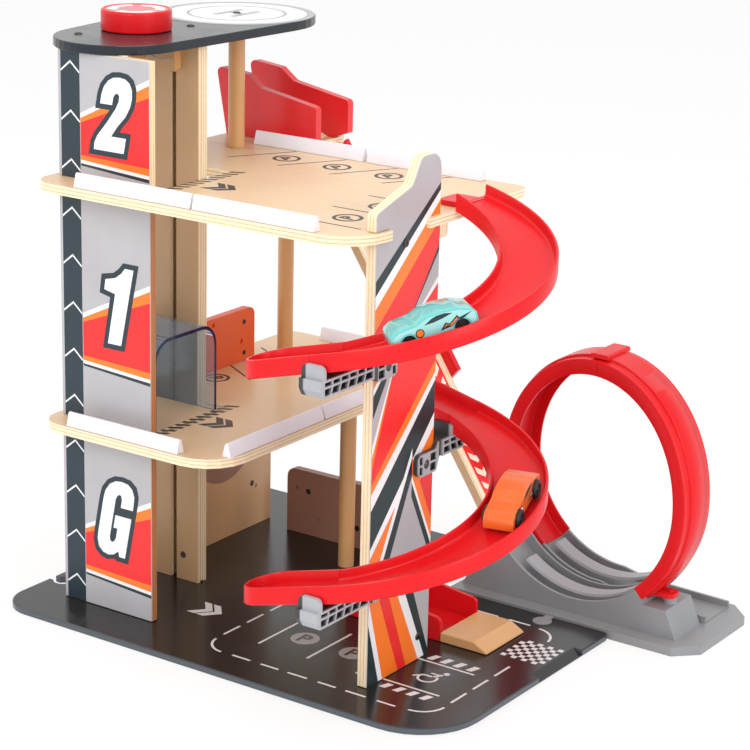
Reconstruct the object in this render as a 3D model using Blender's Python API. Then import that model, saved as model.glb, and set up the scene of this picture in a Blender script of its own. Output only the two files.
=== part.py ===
"""Toy garage: a wooden parking tower with a hand-cranked lift, two spiral tracks and a loop set.

The driving dimensions below are millimetres. Every piece hangs on the empty "garage", whose own
frame has x = 0 at the board's right edge (left is negative), y = 0 at its front edge (back is
positive) and z = 0 on the board's top. The empty moves that frame so that the world's origin is the
middle of the main board's underside.
"""

import math

import bmesh
import bpy
from mathutils import Matrix, Vector

MM = 0.001

# Clearances
SEAT_GAP = 0.3
RUN_GAP = 1.0

# Base board
BOARD_LENGTH = 466.0
BOARD_DEPTH = 270.0
BOARD_THICK = 6.0
WING_DEPTH = 384.0
WING_RIGHT = -205.0
BOARD_RIGHT_RADIUS = 58.0
BOARD_LEFT_RADIUS = 30.0
RAMP_EDGE_FRONT = 152.0
RAMP_EDGE_BACK = 224.0
RAMP_EDGE_RUN = 9.0
JIGSAW_RADIUS = 9.0
JIGSAW_NECK = 9.0
JIGSAW_REACH = 13.0
BACK_JIGSAW_X = -60.0
SIDE_JIGSAW_Y = 71.0

# Storeys: the top of each floor, the floors' plywood and the roof
FLOOR_ONE_TOP = 170.0
FLOOR_TWO_TOP = 382.0
ROOF_UNDER = 490.0
FLOOR_THICK = 8.0
ROOF_THICK = 8.0
FLOOR_LEFT = -434.0
FLOOR_CORNER = 24.0
FLOOR_ONE_FRONT = 20.0
FLOOR_ONE_RIGHT = -237.0
FLOOR_ONE_BACK = 384.0
FLOOR_ONE_RADIUS = 38.0
FLOOR_TWO_FRONT = 15.0
FLOOR_TWO_RIGHT = -97.0
FLOOR_TWO_BACK = 268.0
FLOOR_TWO_RADIUS = 40.0
LANDING_BACK = 346.0
LANDING_RIGHT = -344.0

# Tower and lift shaft
TOWER_LEFT = -427.0
TOWER_RIGHT = -327.0
TOWER_FRONT = 45.0
PANEL_THICK = 7.5
GUIDE_FRONT = 139.0
GUIDE_THICK = 4.0
GUIDE_GAP = 4.0
GUIDE_RIGHT = -352.0
SLOT_LEFT = -383.0
SLOT_WIDTH = 6.6

# Roof plate, as the circles (x, y, radius) of its two ends, and knob
ROOF_FRONT_END = (-400.0, 95.0, 57.0)
ROOF_BACK_END = (-407.0, 262.0, 71.0)
KNOB_X = -411.0
KNOB_Y = 128.0
KNOB_RADIUS = 30.5
KNOB_HEIGHT = 18.0
SPINDLE_RADIUS = 4.0
DRUM_RADIUS = 8.0
DRUM_LENGTH = 15.0

# Lift car
HOOD_HEIGHT = 80.0
HOOD_THICK = 3.0
HOOD_RADIUS = 20.0
HOOD_DEPTH = 88.0
LIFT_FLOOR_THICK = 8.0
LIFT_FLOOR_NOSE = 5.0
LIFT_LIP = 5.0

# Kerb rails
KERB_WIDTH = 8.0
KERB_HEIGHT = 12.0
KERB_INSET = 2.0

# Dowels
DOWEL_RADIUS = 7.5

# Side panel
SIDE_FACE = -100.6
SIDE_THICK = 9.4
SIDE_FRONT = 46.0
SIDE_BACK = 136.0
SIDE_PEAK_HEIGHT = 433.0
SIDE_PEAK_Y = 107.5
SIDE_SHOULDER_HEIGHT = 397.0
SIDE_STEP_Y = 94.5
SIDE_STEP_HEIGHT = 411.5
NOTCH_FRONT_END = 63.0
NOTCH_BACK_START = 116.0

# Spiral tracks
TRACK_X = FLOOR_TWO_RIGHT + SEAT_GAP
TRACK_Y = 77.0
TRACK_OUTER = 122.0
TRACK_WIDTH = 47.0
TRACK_WALL = 2.6
TRACK_HEIGHT = 15.0
TRACK_DEPTH = 9.0
TRACK_FLOOR = 2.6
TRACK_DROP = 90.0
UPPER_TRACK_TOP = 396.0
LOWER_TRACK_TOP = 209.5
TRACK_STEPS = 32
CUP_LENGTH = 72.0
CUP_SLOPE = 0.27
LEAD_LENGTH = 100.0
LEAD_SLOPE = 0.233
TAB_LENGTH = 24.0
TAB_WIDTH = 28.0

# Brackets under the tracks
BRACKET_PLATE = 5.2
BRACKET_WALL = 1.8
ARM_WIDTH = 20.8
ARM_HEIGHT = 14.0
LIP_THICK = 3.6
BRACKET_SCREW_RADIUS = 3.6

# Drop ramp and chute
RAMP_TOP_X = LANDING_RIGHT + SEAT_GAP
RAMP_FRONT = 288.0
RAMP_WIDTH = 41.0
RAMP_THICK = 8.0
RAMP_ANGLE = 56.4
RAIL_THICK = 6.0
RAIL_HEIGHT = 9.0
CHUTE_WALL = 8.0
CHUTE_LEFT = -432.0
CHUTE_RIGHT = -330.0
CHUTE_LOW = 36.0
CHUTE_HIGH = 62.0

# Loop set
LOOP_X = -48.0
LOOP_RAIL_RADIUS = 93.0
LOOP_RAIL_HEIGHT = 9.0
LOOP_SKIN = 2.6
LOOP_BOTTOM = 15.5
LOOP_TALL = 1.15
LANE_FRONT = 285.0
LANE_WIDTH = 47.0
LANE_SPACE = 4.0
LOOP_LEFT_ANGLE = 56.0
LOOP_FAR_ANGLE = 40.0
LOOP_RIGHT_ANGLE = 42.0
FAR_LANE_END = 58.0
PEDESTAL_TOP = 27.0
PEG_X = 39.0
PEG_Y = 305.0
PEG_RADIUS = 2.8
LOOP_FOOT_HEIGHT = 8.0
LOOP_FOOT_LEFT = -165.0
LOOP_FOOT_RIGHT = 79.0
LOOP_FOOT_BACK = 391.0
LOOP_FOOT_CHAMFER = 19.0

# Toy cars
CAR_LENGTH = 68.0
CAR_WIDTH = 31.0
CAR_HEIGHT = 21.0
CAR_CLEARANCE = 3.5
CAR_LIFT = 1.6
WHEEL_RADIUS = 7.6
WHEEL_WIDTH = 6.0
AXLE_RADIUS = 1.3
AXLE_BORE = 1.8
WHEEL_BASE = 42.0
TEAL_ANGLE = -42.0
ORANGE_ANGLE = 13.0

# Colours
RED = (0.78, 0.035, 0.04)
PLY = (0.80, 0.60, 0.36)
BEECH = (0.78, 0.52, 0.27)
SLATE = (0.035, 0.045, 0.055)
WHITE = (0.86, 0.84, 0.86)
GREY = (0.28, 0.29, 0.30)


def material(name, colour, roughness=0.45, metallic=0.0, alpha=1.0):
    """One Principled material, made once for each name."""
    found = bpy.data.materials.get(name)
    if found:
        return found
    made = bpy.data.materials.new(name)
    made.use_nodes = True
    shader = made.node_tree.nodes["Principled BSDF"]
    shader.inputs["Base Color"].default_value = (*colour, 1.0)
    shader.inputs["Roughness"].default_value = roughness
    shader.inputs["Metallic"].default_value = metallic
    shader.inputs["Alpha"].default_value = alpha
    made.diffuse_color = (*colour, alpha)
    return made


def red_plastic():
    return material("red_plastic", RED, 0.3)


def plywood():
    return material("birch_plywood", PLY, 0.5)


def grey_plastic():
    return material("grey_plastic", GREY, 0.4)


def rounded(corners, steps=5):
    """The outline through corners given as (u, v) or (u, v, radius), each radius turned as an arc."""
    points = []
    count = len(corners)
    for index, corner in enumerate(corners):
        here = Vector(corner[:2])
        radius = corner[2] if len(corner) > 2 else 0.0
        if radius <= 0.0:
            points.append(here)
            continue
        back = (Vector(corners[index - 1][:2]) - here).normalized()
        ahead = (Vector(corners[(index + 1) % count][:2]) - here).normalized()
        half = back.angle(ahead) / 2
        centre = here + (back + ahead).normalized() * (radius / math.sin(half))
        first = here + back * (radius / math.tan(half)) - centre
        last = here + ahead * (radius / math.tan(half)) - centre
        start = math.atan2(first.y, first.x)
        turn = (math.atan2(last.y, last.x) - start + math.pi) % math.tau - math.pi
        for step in range(steps + 1):
            angle = start + turn * step / steps
            points.append(centre + radius * Vector((math.cos(angle), math.sin(angle))))
    return points


def circle(u, v, radius, sides=32):
    """A circle's points, anticlockwise."""
    turn = math.tau / sides
    return [
        Vector((u + radius * math.cos(turn * k), v + radius * math.sin(turn * k))) for k in range(sides)
    ]


def box(u0, u1, v0, v1):
    """A rectangle's corners."""
    return [(u0, v0), (u1, v0), (u1, v1), (u0, v1)]


def arc(u, v, radius, first, last, steps, tall=1.0):
    """Points on an arc from one angle to another, in degrees; tall stretches it along v."""
    points = []
    for step in range(steps + 1):
        angle = math.radians(first + (last - first) * step / steps)
        points.append(Vector((u + radius * math.cos(angle), v + radius * tall * math.sin(angle))))
    return points


def on_axis(axis, u, v, w):
    """A point of an outline drawn across the axis: X takes (y, z), Y takes (x, z), Z takes (x, y)."""
    return {"X": (w, u, v), "Y": (u, w, v), "Z": (u, v, w)}[axis]


def add_object(name, form, surface, origin=(0, 0, 0), smooth=False):
    """Turns a bmesh in millimetres of the garage frame into an object with its origin at origin."""
    bmesh.ops.recalc_face_normals(form, faces=form.faces)
    bmesh.ops.translate(form, verts=form.verts, vec=-Vector(origin))
    bmesh.ops.scale(form, verts=form.verts, vec=(MM, MM, MM))
    mesh = bpy.data.meshes.new(name)
    form.to_mesh(mesh)
    form.free()
    if smooth:
        mesh.shade_smooth()
        mesh.set_sharp_from_angle(angle=math.radians(35))
    made = bpy.data.objects.new(name, mesh)
    bpy.context.scene.collection.objects.link(made)
    if surface:
        mesh.materials.append(surface)
    made.location = Vector(origin) * MM
    made.parent = bpy.data.objects["garage"]
    return made


def extrude(form, outline, low, high, axis="Z"):
    """Adds an outline to a bmesh as a closed prism along an axis."""
    flat = [form.verts.new(on_axis(axis, p[0], p[1], low)) for p in outline]
    face = form.faces.new(flat)
    out = bmesh.ops.extrude_face_region(form, geom=[face])["geom"]
    moved = [v for v in out if isinstance(v, bmesh.types.BMVert)]
    bmesh.ops.translate(form, verts=moved, vec=on_axis(axis, 0, 0, high - low))


def slab(name, outline, low, high, axis="Z", surface=None, smooth=False, origin=None):
    """A plate: an outline extruded along an axis."""
    form = bmesh.new()
    extrude(form, outline, low, high, axis)
    us = [p[0] for p in outline]
    vs = [p[1] for p in outline]
    middle = on_axis(axis, (min(us) + max(us)) / 2, (min(vs) + max(vs)) / 2, low)
    return add_object(name, form, surface or plywood(), origin or middle, smooth)


def revolve(profile, centre, axis, sides=24):
    """A bmesh turned from (radius, along) points round an axis through centre; ends at radius 0."""
    form = bmesh.new()
    rings = []
    for radius, along in profile:
        if radius == 0:
            rings.append([form.verts.new(on_axis(axis, 0, 0, along))])
            continue
        rings.append([form.verts.new(on_axis(axis, p.x, p.y, along)) for p in circle(0, 0, radius, sides)])
    for lower, upper in zip(rings, rings[1:]):
        for k in range(sides):
            after = (k + 1) % sides
            corners = [lower[k % len(lower)], lower[after % len(lower)]]
            corners += [upper[after % len(upper)], upper[k % len(upper)]]
            form.faces.new(list(dict.fromkeys(corners)))
    bmesh.ops.translate(form, verts=form.verts, vec=centre)
    return form


def sweep(sections):
    """A bmesh that joins closed rings of points, one for each station, with an end cap on each end."""
    form = bmesh.new()
    rings = [[form.verts.new(p) for p in ring] for ring in sections]
    count = len(rings[0])
    for lower, upper in zip(rings, rings[1:]):
        for k in range(count):
            after = (k + 1) % count
            form.faces.new([lower[k], lower[after], upper[after], upper[k]])
    form.faces.new(list(reversed(rings[0])))
    form.faces.new(rings[-1])
    return form


def boolean(target, form, operation, name):
    """Cuts a bmesh in garage millimetres out of an object, or joins it on."""
    helper = add_object(name, form, None)
    helper.hide_render = True
    helper.display_type = "WIRE"
    step = target.modifiers.new(name, "BOOLEAN")
    step.operation = operation
    step.solver = "EXACT"
    step.object = helper
    return helper


def cut(target, outline, low, high, axis, name):
    form = bmesh.new()
    extrude(form, outline, low, high, axis)
    return boolean(target, form, "DIFFERENCE", name)


def join(target, outline, low, high, axis, name):
    form = bmesh.new()
    extrude(form, outline, low, high, axis)
    return boolean(target, form, "UNION", name)


def bevel(target, width, segments=1, angle=40):
    """Breaks the sharp edges of an object."""
    step = target.modifiers.new("edge", "BEVEL")
    step.width = width * MM
    step.segments = segments
    step.limit_method = "ANGLE"
    step.angle_limit = math.radians(angle)
    step.use_clamp_overlap = True


def jigsaw(u, v, reach_u, reach_v, radius, neck):
    """A jigsaw knob's outline: a neck that starts at (u, v) and ends in a disc reach away."""
    length = math.hypot(reach_u, reach_v)
    along = Vector((reach_u, reach_v)) / length
    side = Vector((-along.y, along.x))
    base = Vector((u, v))
    half = neck / 2
    opening = math.asin(half / radius)
    centre = base + along * length
    back = math.atan2(-along.y, -along.x)
    points = [base - along * 2 + side * half]
    for step in range(19):
        angle = back - opening - (math.tau - 2 * opening) * step / 18
        points.append(centre + radius * Vector((math.cos(angle), math.sin(angle))))
    points.append(base - along * 2 - side * half)
    return points


def make_base_board():
    """L-shaped board with jigsaw sockets and a bevel where cars drive off its right edge."""
    back = BOARD_DEPTH
    outline = rounded(
        [
            (-BOARD_LENGTH, 0, BOARD_LEFT_RADIUS),
            (0, 0, BOARD_RIGHT_RADIUS),
            (0, back, 6),
            (WING_RIGHT, back, 4),
            (WING_RIGHT, WING_DEPTH, 14),
            (-BOARD_LENGTH, WING_DEPTH, 14),
        ],
        8,
    )
    board = slab("base_board", outline, -BOARD_THICK, 0, surface=material("slate_board", SLATE, 0.3))
    bevel(board, 0.8)
    below = -BOARD_THICK - 1
    knob = jigsaw(BACK_JIGSAW_X, back, 0, -JIGSAW_REACH, JIGSAW_RADIUS, JIGSAW_NECK)
    cut(board, knob, below, 1, "Z", "cut_back_socket")
    knob = jigsaw(-BOARD_LENGTH, SIDE_JIGSAW_Y, JIGSAW_REACH, 0, JIGSAW_RADIUS, JIGSAW_NECK)
    cut(board, knob, below, 1, "Z", "cut_side_socket")
    drop = BOARD_THICK - 1.5
    wedge = [(-RAMP_EDGE_RUN, 0), (-RAMP_EDGE_RUN, 1), (1, 1), (1, -drop), (0, -drop)]
    cut(board, wedge, RAMP_EDGE_FRONT, RAMP_EDGE_BACK, "Y", "cut_drive_off")


def make_tower_panels():
    """The printed front panels of the lift shaft, one for each storey."""
    storeys = {
        "ground": (0, FLOOR_ONE_TOP - FLOOR_THICK),
        "first": (FLOOR_ONE_TOP, FLOOR_TWO_TOP - FLOOR_THICK),
        "second": (FLOOR_TWO_TOP, ROOF_UNDER),
    }
    for storey, (low, high) in storeys.items():
        outline = box(TOWER_LEFT, TOWER_RIGHT, low + SEAT_GAP, high - SEAT_GAP)
        panel = slab(f"tower_panel_{storey}", outline, TOWER_FRONT, TOWER_FRONT + PANEL_THICK, "Y")
        bevel(panel, 0.6)


def make_guide():
    """Two boards behind the lift: the slot in the front one and the gap between them hold the slider."""
    slot_right = SLOT_LEFT + SLOT_WIDTH
    outline = box(TOWER_LEFT, GUIDE_RIGHT, SEAT_GAP, ROOF_UNDER - SEAT_GAP)
    front = slab("guide_wall_front", outline, GUIDE_FRONT, GUIDE_FRONT + GUIDE_THICK, "Y")
    slot = box(SLOT_LEFT, slot_right, -1, ROOF_UNDER - 26)
    cut(front, slot, GUIDE_FRONT - 1, GUIDE_FRONT + GUIDE_THICK + 1, "Y", "cut_guide_slot")
    low = GUIDE_FRONT + GUIDE_THICK + GUIDE_GAP
    back = slab("guide_wall_back", outline, low, low + GUIDE_THICK, "Y")
    strips = bmesh.new()
    inner = GUIDE_FRONT + GUIDE_THICK
    for left in (TOWER_LEFT, GUIDE_RIGHT - 5):
        extrude(strips, box(left, left + 5, 2, ROOF_UNDER - 2), inner + SEAT_GAP, low + 1, "Y")
    boolean(back, strips, "UNION", "guide_spacers")


def make_string_parts():
    """The wood block that leads the string from the drum to the slot, and the string's top loop."""
    left = SLOT_LEFT - 12
    top = ROOF_UNDER - SEAT_GAP
    outline = rounded([(left, top - 24, 3), (left + 24, top - 24, 3), (left + 24, top), (left, top)], 3)
    block = slab("string_guide", outline, GUIDE_FRONT - SEAT_GAP - 8, GUIDE_FRONT - SEAT_GAP, "Y",
                 material("beech", BEECH))
    hole_x = left + 18
    hole_z = top - 13
    cut(block, circle(hole_x, hole_z, 1.1, 12), GUIDE_FRONT - 12, GUIDE_FRONT + 1, "Y", "cut_string_hole")
    path = bpy.data.curves.new("lift_string", "CURVE")
    path.dimensions = "3D"
    path.bevel_depth = 0.7 * MM
    path.bevel_resolution = 2
    path.use_fill_caps = True
    line = path.splines.new("POLY")
    inside = Vector((hole_x, GUIDE_FRONT - 1.5, hole_z))
    mouth = Vector((hole_x, GUIDE_FRONT - 10, hole_z))
    core = DRUM_RADIUS - 2.5
    end = Vector((KNOB_X + core + 0.7 + SEAT_GAP, KNOB_Y, ROOF_UNDER - SEAT_GAP - 8))
    turn = mouth + Vector((0, -9, -3))
    steps = 16
    line.points.add(steps + 1)
    line.points[0].co = (*(inside * MM), 1)
    for k in range(steps + 1):
        t = k / steps
        point = mouth * (1 - t) ** 2 + turn * 2 * t * (1 - t) + end * t ** 2
        line.points[k + 1].co = (*(point * MM), 1)
    string = bpy.data.objects.new("lift_string", path)
    bpy.context.scene.collection.objects.link(string)
    path.materials.append(material("string", (0.75, 0.7, 0.6), 0.9))
    string.parent = bpy.data.objects["garage"]


def two_circles(first, second, steps=20):
    """The outline of two circles, each given as (u, v, radius), and the straight sides between them."""
    u0, v0, radius0 = first
    u1, v1, radius1 = second
    line = math.degrees(math.atan2(v1 - v0, u1 - u0))
    spread = math.degrees(math.acos((radius0 - radius1) / math.hypot(u1 - u0, v1 - v0)))
    outline = arc(u0, v0, radius0, line + spread, line + 360 - spread, steps)
    return outline + arc(u1, v1, radius1, line - spread, line + spread, steps)


def make_roof():
    """The roof plate with the knob that winds the lift's string."""
    outline = two_circles(ROOF_FRONT_END, ROOF_BACK_END)
    roof_top = ROOF_UNDER + ROOF_THICK
    plate = slab("top_plate", outline, ROOF_UNDER, roof_top, surface=material("slate_board", SLATE))
    bevel(plate, 0.6)
    hole = circle(KNOB_X, KNOB_Y, SPINDLE_RADIUS + SEAT_GAP, 20)
    cut(plate, hole, ROOF_UNDER - 1, roof_top + 1, "Z", "cut_spindle_hole")
    knob_low = roof_top + SEAT_GAP
    knob_top = knob_low + KNOB_HEIGHT
    profile = [
        (0, 0),
        (KNOB_RADIUS - 0.8, 0),
        (KNOB_RADIUS, 0.8),
        (KNOB_RADIUS, KNOB_HEIGHT - 2.5),
        (KNOB_RADIUS - 0.8, KNOB_HEIGHT - 0.7),
        (KNOB_RADIUS - 2.6, KNOB_HEIGHT),
        (0, KNOB_HEIGHT),
    ]
    place = (KNOB_X, KNOB_Y, knob_low)
    form = revolve(profile, place, "Z", 40)
    knob = add_object("knob", form, red_plastic(), place, True)
    bore = circle(KNOB_X, KNOB_Y, SPINDLE_RADIUS + SEAT_GAP, 20)
    cut(knob, bore, knob_low - 1, knob_top - 5, "Z", "cut_knob_bore")
    drum_top = ROOF_UNDER - SEAT_GAP
    profile = [
        (0, drum_top - DRUM_LENGTH),
        (DRUM_RADIUS, drum_top - DRUM_LENGTH),
        (DRUM_RADIUS, drum_top - DRUM_LENGTH + 2),
        (DRUM_RADIUS - 2.5, drum_top - DRUM_LENGTH + 3.5),
        (DRUM_RADIUS - 2.5, drum_top - 3.5),
        (DRUM_RADIUS, drum_top - 2),
        (DRUM_RADIUS, drum_top),
        (SPINDLE_RADIUS, drum_top),
        (SPINDLE_RADIUS, knob_top - 5 - SEAT_GAP),
        (0, knob_top - 5 - SEAT_GAP),
    ]
    form = revolve(profile, (KNOB_X, KNOB_Y, 0), "Z", 20)
    add_object("knob_spindle", form, material("beech", BEECH), (KNOB_X, KNOB_Y, drum_top), True)


def cut_shaft(floor, low, high, name):
    """The opening in a floor for the lift car and the guide wall."""
    guide_back = GUIDE_FRONT + 2 * GUIDE_THICK + GUIDE_GAP
    shaft = box(TOWER_LEFT - SEAT_GAP, TOWER_RIGHT + 3, TOWER_FRONT + PANEL_THICK, guide_back + SEAT_GAP)
    cut(floor, shaft, low - 1, high + 1, "Z", name)


def make_floors():
    """Two birch plywood floors; floor two interlocks with the side panel."""
    low = FLOOR_ONE_TOP - FLOOR_THICK
    outline = rounded(
        [
            (FLOOR_LEFT, FLOOR_ONE_FRONT, FLOOR_CORNER),
            (FLOOR_ONE_RIGHT, FLOOR_ONE_FRONT, FLOOR_ONE_RADIUS),
            (FLOOR_ONE_RIGHT, FLOOR_ONE_BACK, 14),
            (FLOOR_LEFT, FLOOR_ONE_BACK, 14),
        ]
    )
    one = slab("floor_one", outline, low, FLOOR_ONE_TOP)
    cut_shaft(one, low, FLOOR_ONE_TOP, "cut_shaft_one")
    low = FLOOR_TWO_TOP - FLOOR_THICK
    outline = rounded(
        [
            (FLOOR_LEFT, FLOOR_TWO_FRONT, FLOOR_CORNER),
            (FLOOR_TWO_RIGHT, FLOOR_TWO_FRONT, FLOOR_TWO_RADIUS),
            (FLOOR_TWO_RIGHT, FLOOR_TWO_BACK, 12),
            (LANDING_RIGHT, FLOOR_TWO_BACK, 4),
            (LANDING_RIGHT, LANDING_BACK, 4),
            (FLOOR_LEFT, LANDING_BACK, 14),
        ]
    )
    two = slab("floor_two", outline, low, FLOOR_TWO_TOP)
    cut_shaft(two, low, FLOOR_TWO_TOP, "cut_shaft_two")
    inner = SIDE_FACE - SIDE_THICK - SEAT_GAP
    middle = box(inner, FLOOR_TWO_RIGHT + 1, NOTCH_FRONT_END, NOTCH_BACK_START)
    cut(two, middle, low - 1, FLOOR_TWO_TOP + 1, "Z", "cut_panel_seat")


def make_side_panel():
    """The tall printed panel: its notches take floor two's two fingers."""
    fingers = (NOTCH_FRONT_END + SEAT_GAP, NOTCH_BACK_START - SEAT_GAP)
    low = FLOOR_TWO_TOP - FLOOR_THICK - SEAT_GAP
    high = FLOOR_TWO_TOP + SEAT_GAP
    outline = rounded(
        [
            (SIDE_FRONT, SEAT_GAP),
            (SIDE_BACK, SEAT_GAP),
            (SIDE_BACK, low),
            (fingers[1], low),
            (fingers[1], high),
            (SIDE_BACK, high),
            (SIDE_BACK, SIDE_PEAK_HEIGHT, 13),
            (SIDE_PEAK_Y, SIDE_PEAK_HEIGHT, 9),
            (SIDE_STEP_Y, SIDE_STEP_HEIGHT, 6),
            (SIDE_FRONT, SIDE_SHOULDER_HEIGHT, 4),
            (SIDE_FRONT, high),
            (fingers[0], high),
            (fingers[0], low),
            (SIDE_FRONT, low),
        ],
        4,
    )
    panel = slab("side_panel", outline, SIDE_FACE - SIDE_THICK, SIDE_FACE, "X")
    bevel(panel, 0.6)


def make_wall_boards():
    """The unprinted boards that stand under and on floor one."""
    behind = GUIDE_FRONT + 2 * GUIDE_THICK + GUIDE_GAP
    outline = box(behind + SEAT_GAP, 315.5, SEAT_GAP, FLOOR_ONE_TOP - FLOOR_THICK - SEAT_GAP)
    wall = slab("ground_wall_panel", outline, -412, -404, "X")
    for y, z in ((186, 92), (292, 40)):
        cut(wall, circle(y, z, 2.2, 12), -406, -403, "X", f"cut_wall_screw_{y}")
    low = SEAT_GAP
    outline = rounded([(-372, low), (-262, low), (-262, 64, 9), (-372, 64, 9)])
    taupe = slab("taupe_board", outline, 300, 308, "Y", material("taupe_board", (0.36, 0.24, 0.2), 0.5))
    for x, z in ((-360, 46), (-334, 18)):
        cut(taupe, circle(x, z, 2.2, 12), 299, 302, "Y", f"cut_taupe_screw_{z}")
    low = FLOOR_ONE_TOP + SEAT_GAP
    outline = rounded([(206, low), (288, low), (288, low + 50, 8), (206, low + 50, 8)])
    orange = slab("orange_board", outline, -412, -404, "X", material("orange_board", (0.62, 0.13, 0.03)))
    for y, z in ((226, 214), (268, 190)):
        cut(orange, circle(y, z, 2.2, 12), -406, -403, "X", f"cut_orange_screw_{y}")


def make_dowels():
    """One round post on each storey."""
    places = {
        "dowel_lower": (-273, 259, 0, FLOOR_ONE_TOP - FLOOR_THICK),
        "dowel_middle": (-383, 308, FLOOR_ONE_TOP, FLOOR_TWO_TOP - FLOOR_THICK),
        "dowel_upper": (-388, 238, FLOOR_TWO_TOP, ROOF_UNDER),
    }
    for name, (x, y, low, high) in places.items():
        outline = circle(x, y, DOWEL_RADIUS, 24)
        slab(name, outline, low + SEAT_GAP, high - SEAT_GAP, "Z", material("beech", BEECH), True)


def kerb(name, start, end, top):
    """A rail that lies along a floor's edge, with its upper edges bevelled."""
    start = Vector(start)
    end = Vector(end)
    along_x = abs(end.x - start.x) > abs(end.y - start.y)
    half = KERB_WIDTH / 2
    across = start.y if along_x else start.x
    low = top + SEAT_GAP
    high = low + KERB_HEIGHT
    profile = [
        (across - half, low),
        (across + half, low),
        (across + half, high - 2.5),
        (across + half - 2.5, high),
        (across - half + 2.5, high),
        (across - half, high - 2.5),
    ]
    ends = sorted((start.x, end.x)) if along_x else sorted((start.y, end.y))
    surface = material("white_kerb", WHITE, 0.4)
    slab(name, profile, ends[0], ends[1], "X" if along_x else "Y", surface)


def make_kerbs():
    """White rails round the edges of both floors, with a slit between the lengths."""
    side = KERB_INSET + KERB_WIDTH / 2
    y = FLOOR_ONE_FRONT + side
    kerb("kerb_one_front", (-426, y), (-277, y), FLOOR_ONE_TOP)
    x = FLOOR_ONE_RIGHT - side
    kerb("kerb_one_right_a", (x, 60), (x, 194), FLOOR_ONE_TOP)
    kerb("kerb_one_right_b", (x, 197), (x, 274), FLOOR_ONE_TOP)
    y = FLOOR_ONE_BACK - side
    kerb("kerb_one_back", (-394, y), (-262, y), FLOOR_ONE_TOP)
    y = FLOOR_TWO_FRONT + side
    kerb("kerb_two_front_a", (-410, y), (-268, y), FLOOR_TWO_TOP)
    kerb("kerb_two_front_b", (-265, y), (-138, y), FLOOR_TWO_TOP)
    y = FLOOR_TWO_BACK - side
    kerb("kerb_two_back_a", (-374, y), (-261, y), FLOOR_TWO_TOP)
    kerb("kerb_two_back_b", (-258, y), (-138, y), FLOOR_TWO_TOP)


def channel(width, height, depth, wall, floor):
    """The U section of a track, as (across, up) from the middle of its wall tops."""
    half = width / 2
    inner = half - wall
    return [
        (-half, 0),
        (-inner, 0),
        (-inner, -depth),
        (inner, -depth),
        (inner, 0),
        (half, 0),
        (half, -height),
        (inner, -height),
        (inner, -depth - floor),
        (-inner, -depth - floor),
        (-inner, -height),
        (-half, -height),
    ]


def track_section():
    return channel(TRACK_WIDTH, TRACK_HEIGHT, TRACK_DEPTH, TRACK_WALL, TRACK_FLOOR)


def track_point(angle, across, top):
    """A point of a spiral: angle runs from 90 degrees at the back to -90 at the front."""
    middle = TRACK_OUTER - TRACK_WIDTH / 2
    turned = math.radians(angle)
    fall = TRACK_DROP * (90 - angle) / 180
    reach = middle + across
    return Vector((TRACK_X + reach * math.cos(turned), TRACK_Y + reach * math.sin(turned), top - fall))


def spiral_track(name, top):
    """A half turn of track that falls from the back of the side panel round to its front."""
    sections = []
    for step in range(TRACK_STEPS + 1):
        angle = 90 - 180 * step / TRACK_STEPS
        sections.append(
            [track_point(angle, across, top) + Vector((0, 0, up)) for across, up in track_section()]
        )
    return add_object(name, sweep(sections), red_plastic(), (TRACK_X, TRACK_Y, top), True)


def sloped_prism(outline, low, high, x0, slope):
    """A prism along Z whose points then rise by slope for each millimetre right of x0."""
    form = bmesh.new()
    extrude(form, outline, low, high)
    for vertex in form.verts:
        vertex.co.z += slope * (vertex.co.x - x0)
    return form


def stadium(x0, x1, y, half):
    """An outline with a square end at x0 and a half-round end at x1, to the left."""
    return [(x0, y - half), (x0, y + half)] + arc(x1 + half, y, half, 90, 270, 14)


def end_piece(name, y, top, length, slope):
    """A straight track that starts at the half turn's end and closes in a walled half-round end."""
    half = TRACK_WIDTH / 2
    right = TRACK_X - SEAT_GAP
    left = right - length
    form = sloped_prism(stadium(right, left, y, half), top - TRACK_HEIGHT, top, right, slope)
    piece = add_object(name, form, red_plastic(), (right, y, top), True)
    inner = stadium(right + 2, left + TRACK_WALL, y, half - TRACK_WALL)
    form = sloped_prism(inner, top - TRACK_DEPTH, top + 5, right, slope)
    boolean(piece, form, "DIFFERENCE", f"cut_{name}_lane")
    form = sloped_prism(inner, top - TRACK_HEIGHT - 5, top - TRACK_DEPTH - TRACK_FLOOR, right, slope)
    boolean(piece, form, "DIFFERENCE", f"cut_{name}_under")
    return piece


def make_tracks():
    """Both spirals, their end cups, the lower one's start piece and the upper one's tab on floor two."""
    back_y = TRACK_Y + TRACK_OUTER - TRACK_WIDTH / 2
    front_y = TRACK_Y - TRACK_OUTER + TRACK_WIDTH / 2
    upper = spiral_track("upper_track", UPPER_TRACK_TOP)
    floor_low = UPPER_TRACK_TOP - TRACK_DEPTH - TRACK_FLOOR
    inner = TRACK_X + 4
    left = TRACK_X - TAB_LENGTH
    half = TAB_WIDTH / 2
    tab = rounded(
        [(left, back_y - half, 6), (inner, back_y - half), (inner, back_y + half), (left, back_y + half, 6)]
    )
    join(upper, tab, FLOOR_TWO_TOP + SEAT_GAP, floor_low + TRACK_FLOOR - 0.5, "Z", "upper_track_tab")
    spiral_track("lower_track", LOWER_TRACK_TOP)
    for name, top in (("upper_track_cup", UPPER_TRACK_TOP), ("lower_track_cup", LOWER_TRACK_TOP)):
        end_piece(name, front_y, top - TRACK_DROP, CUP_LENGTH, CUP_SLOPE)
    end_piece("lower_track_start", back_y, LOWER_TRACK_TOP, LEAD_LENGTH, -LEAD_SLOPE)


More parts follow.
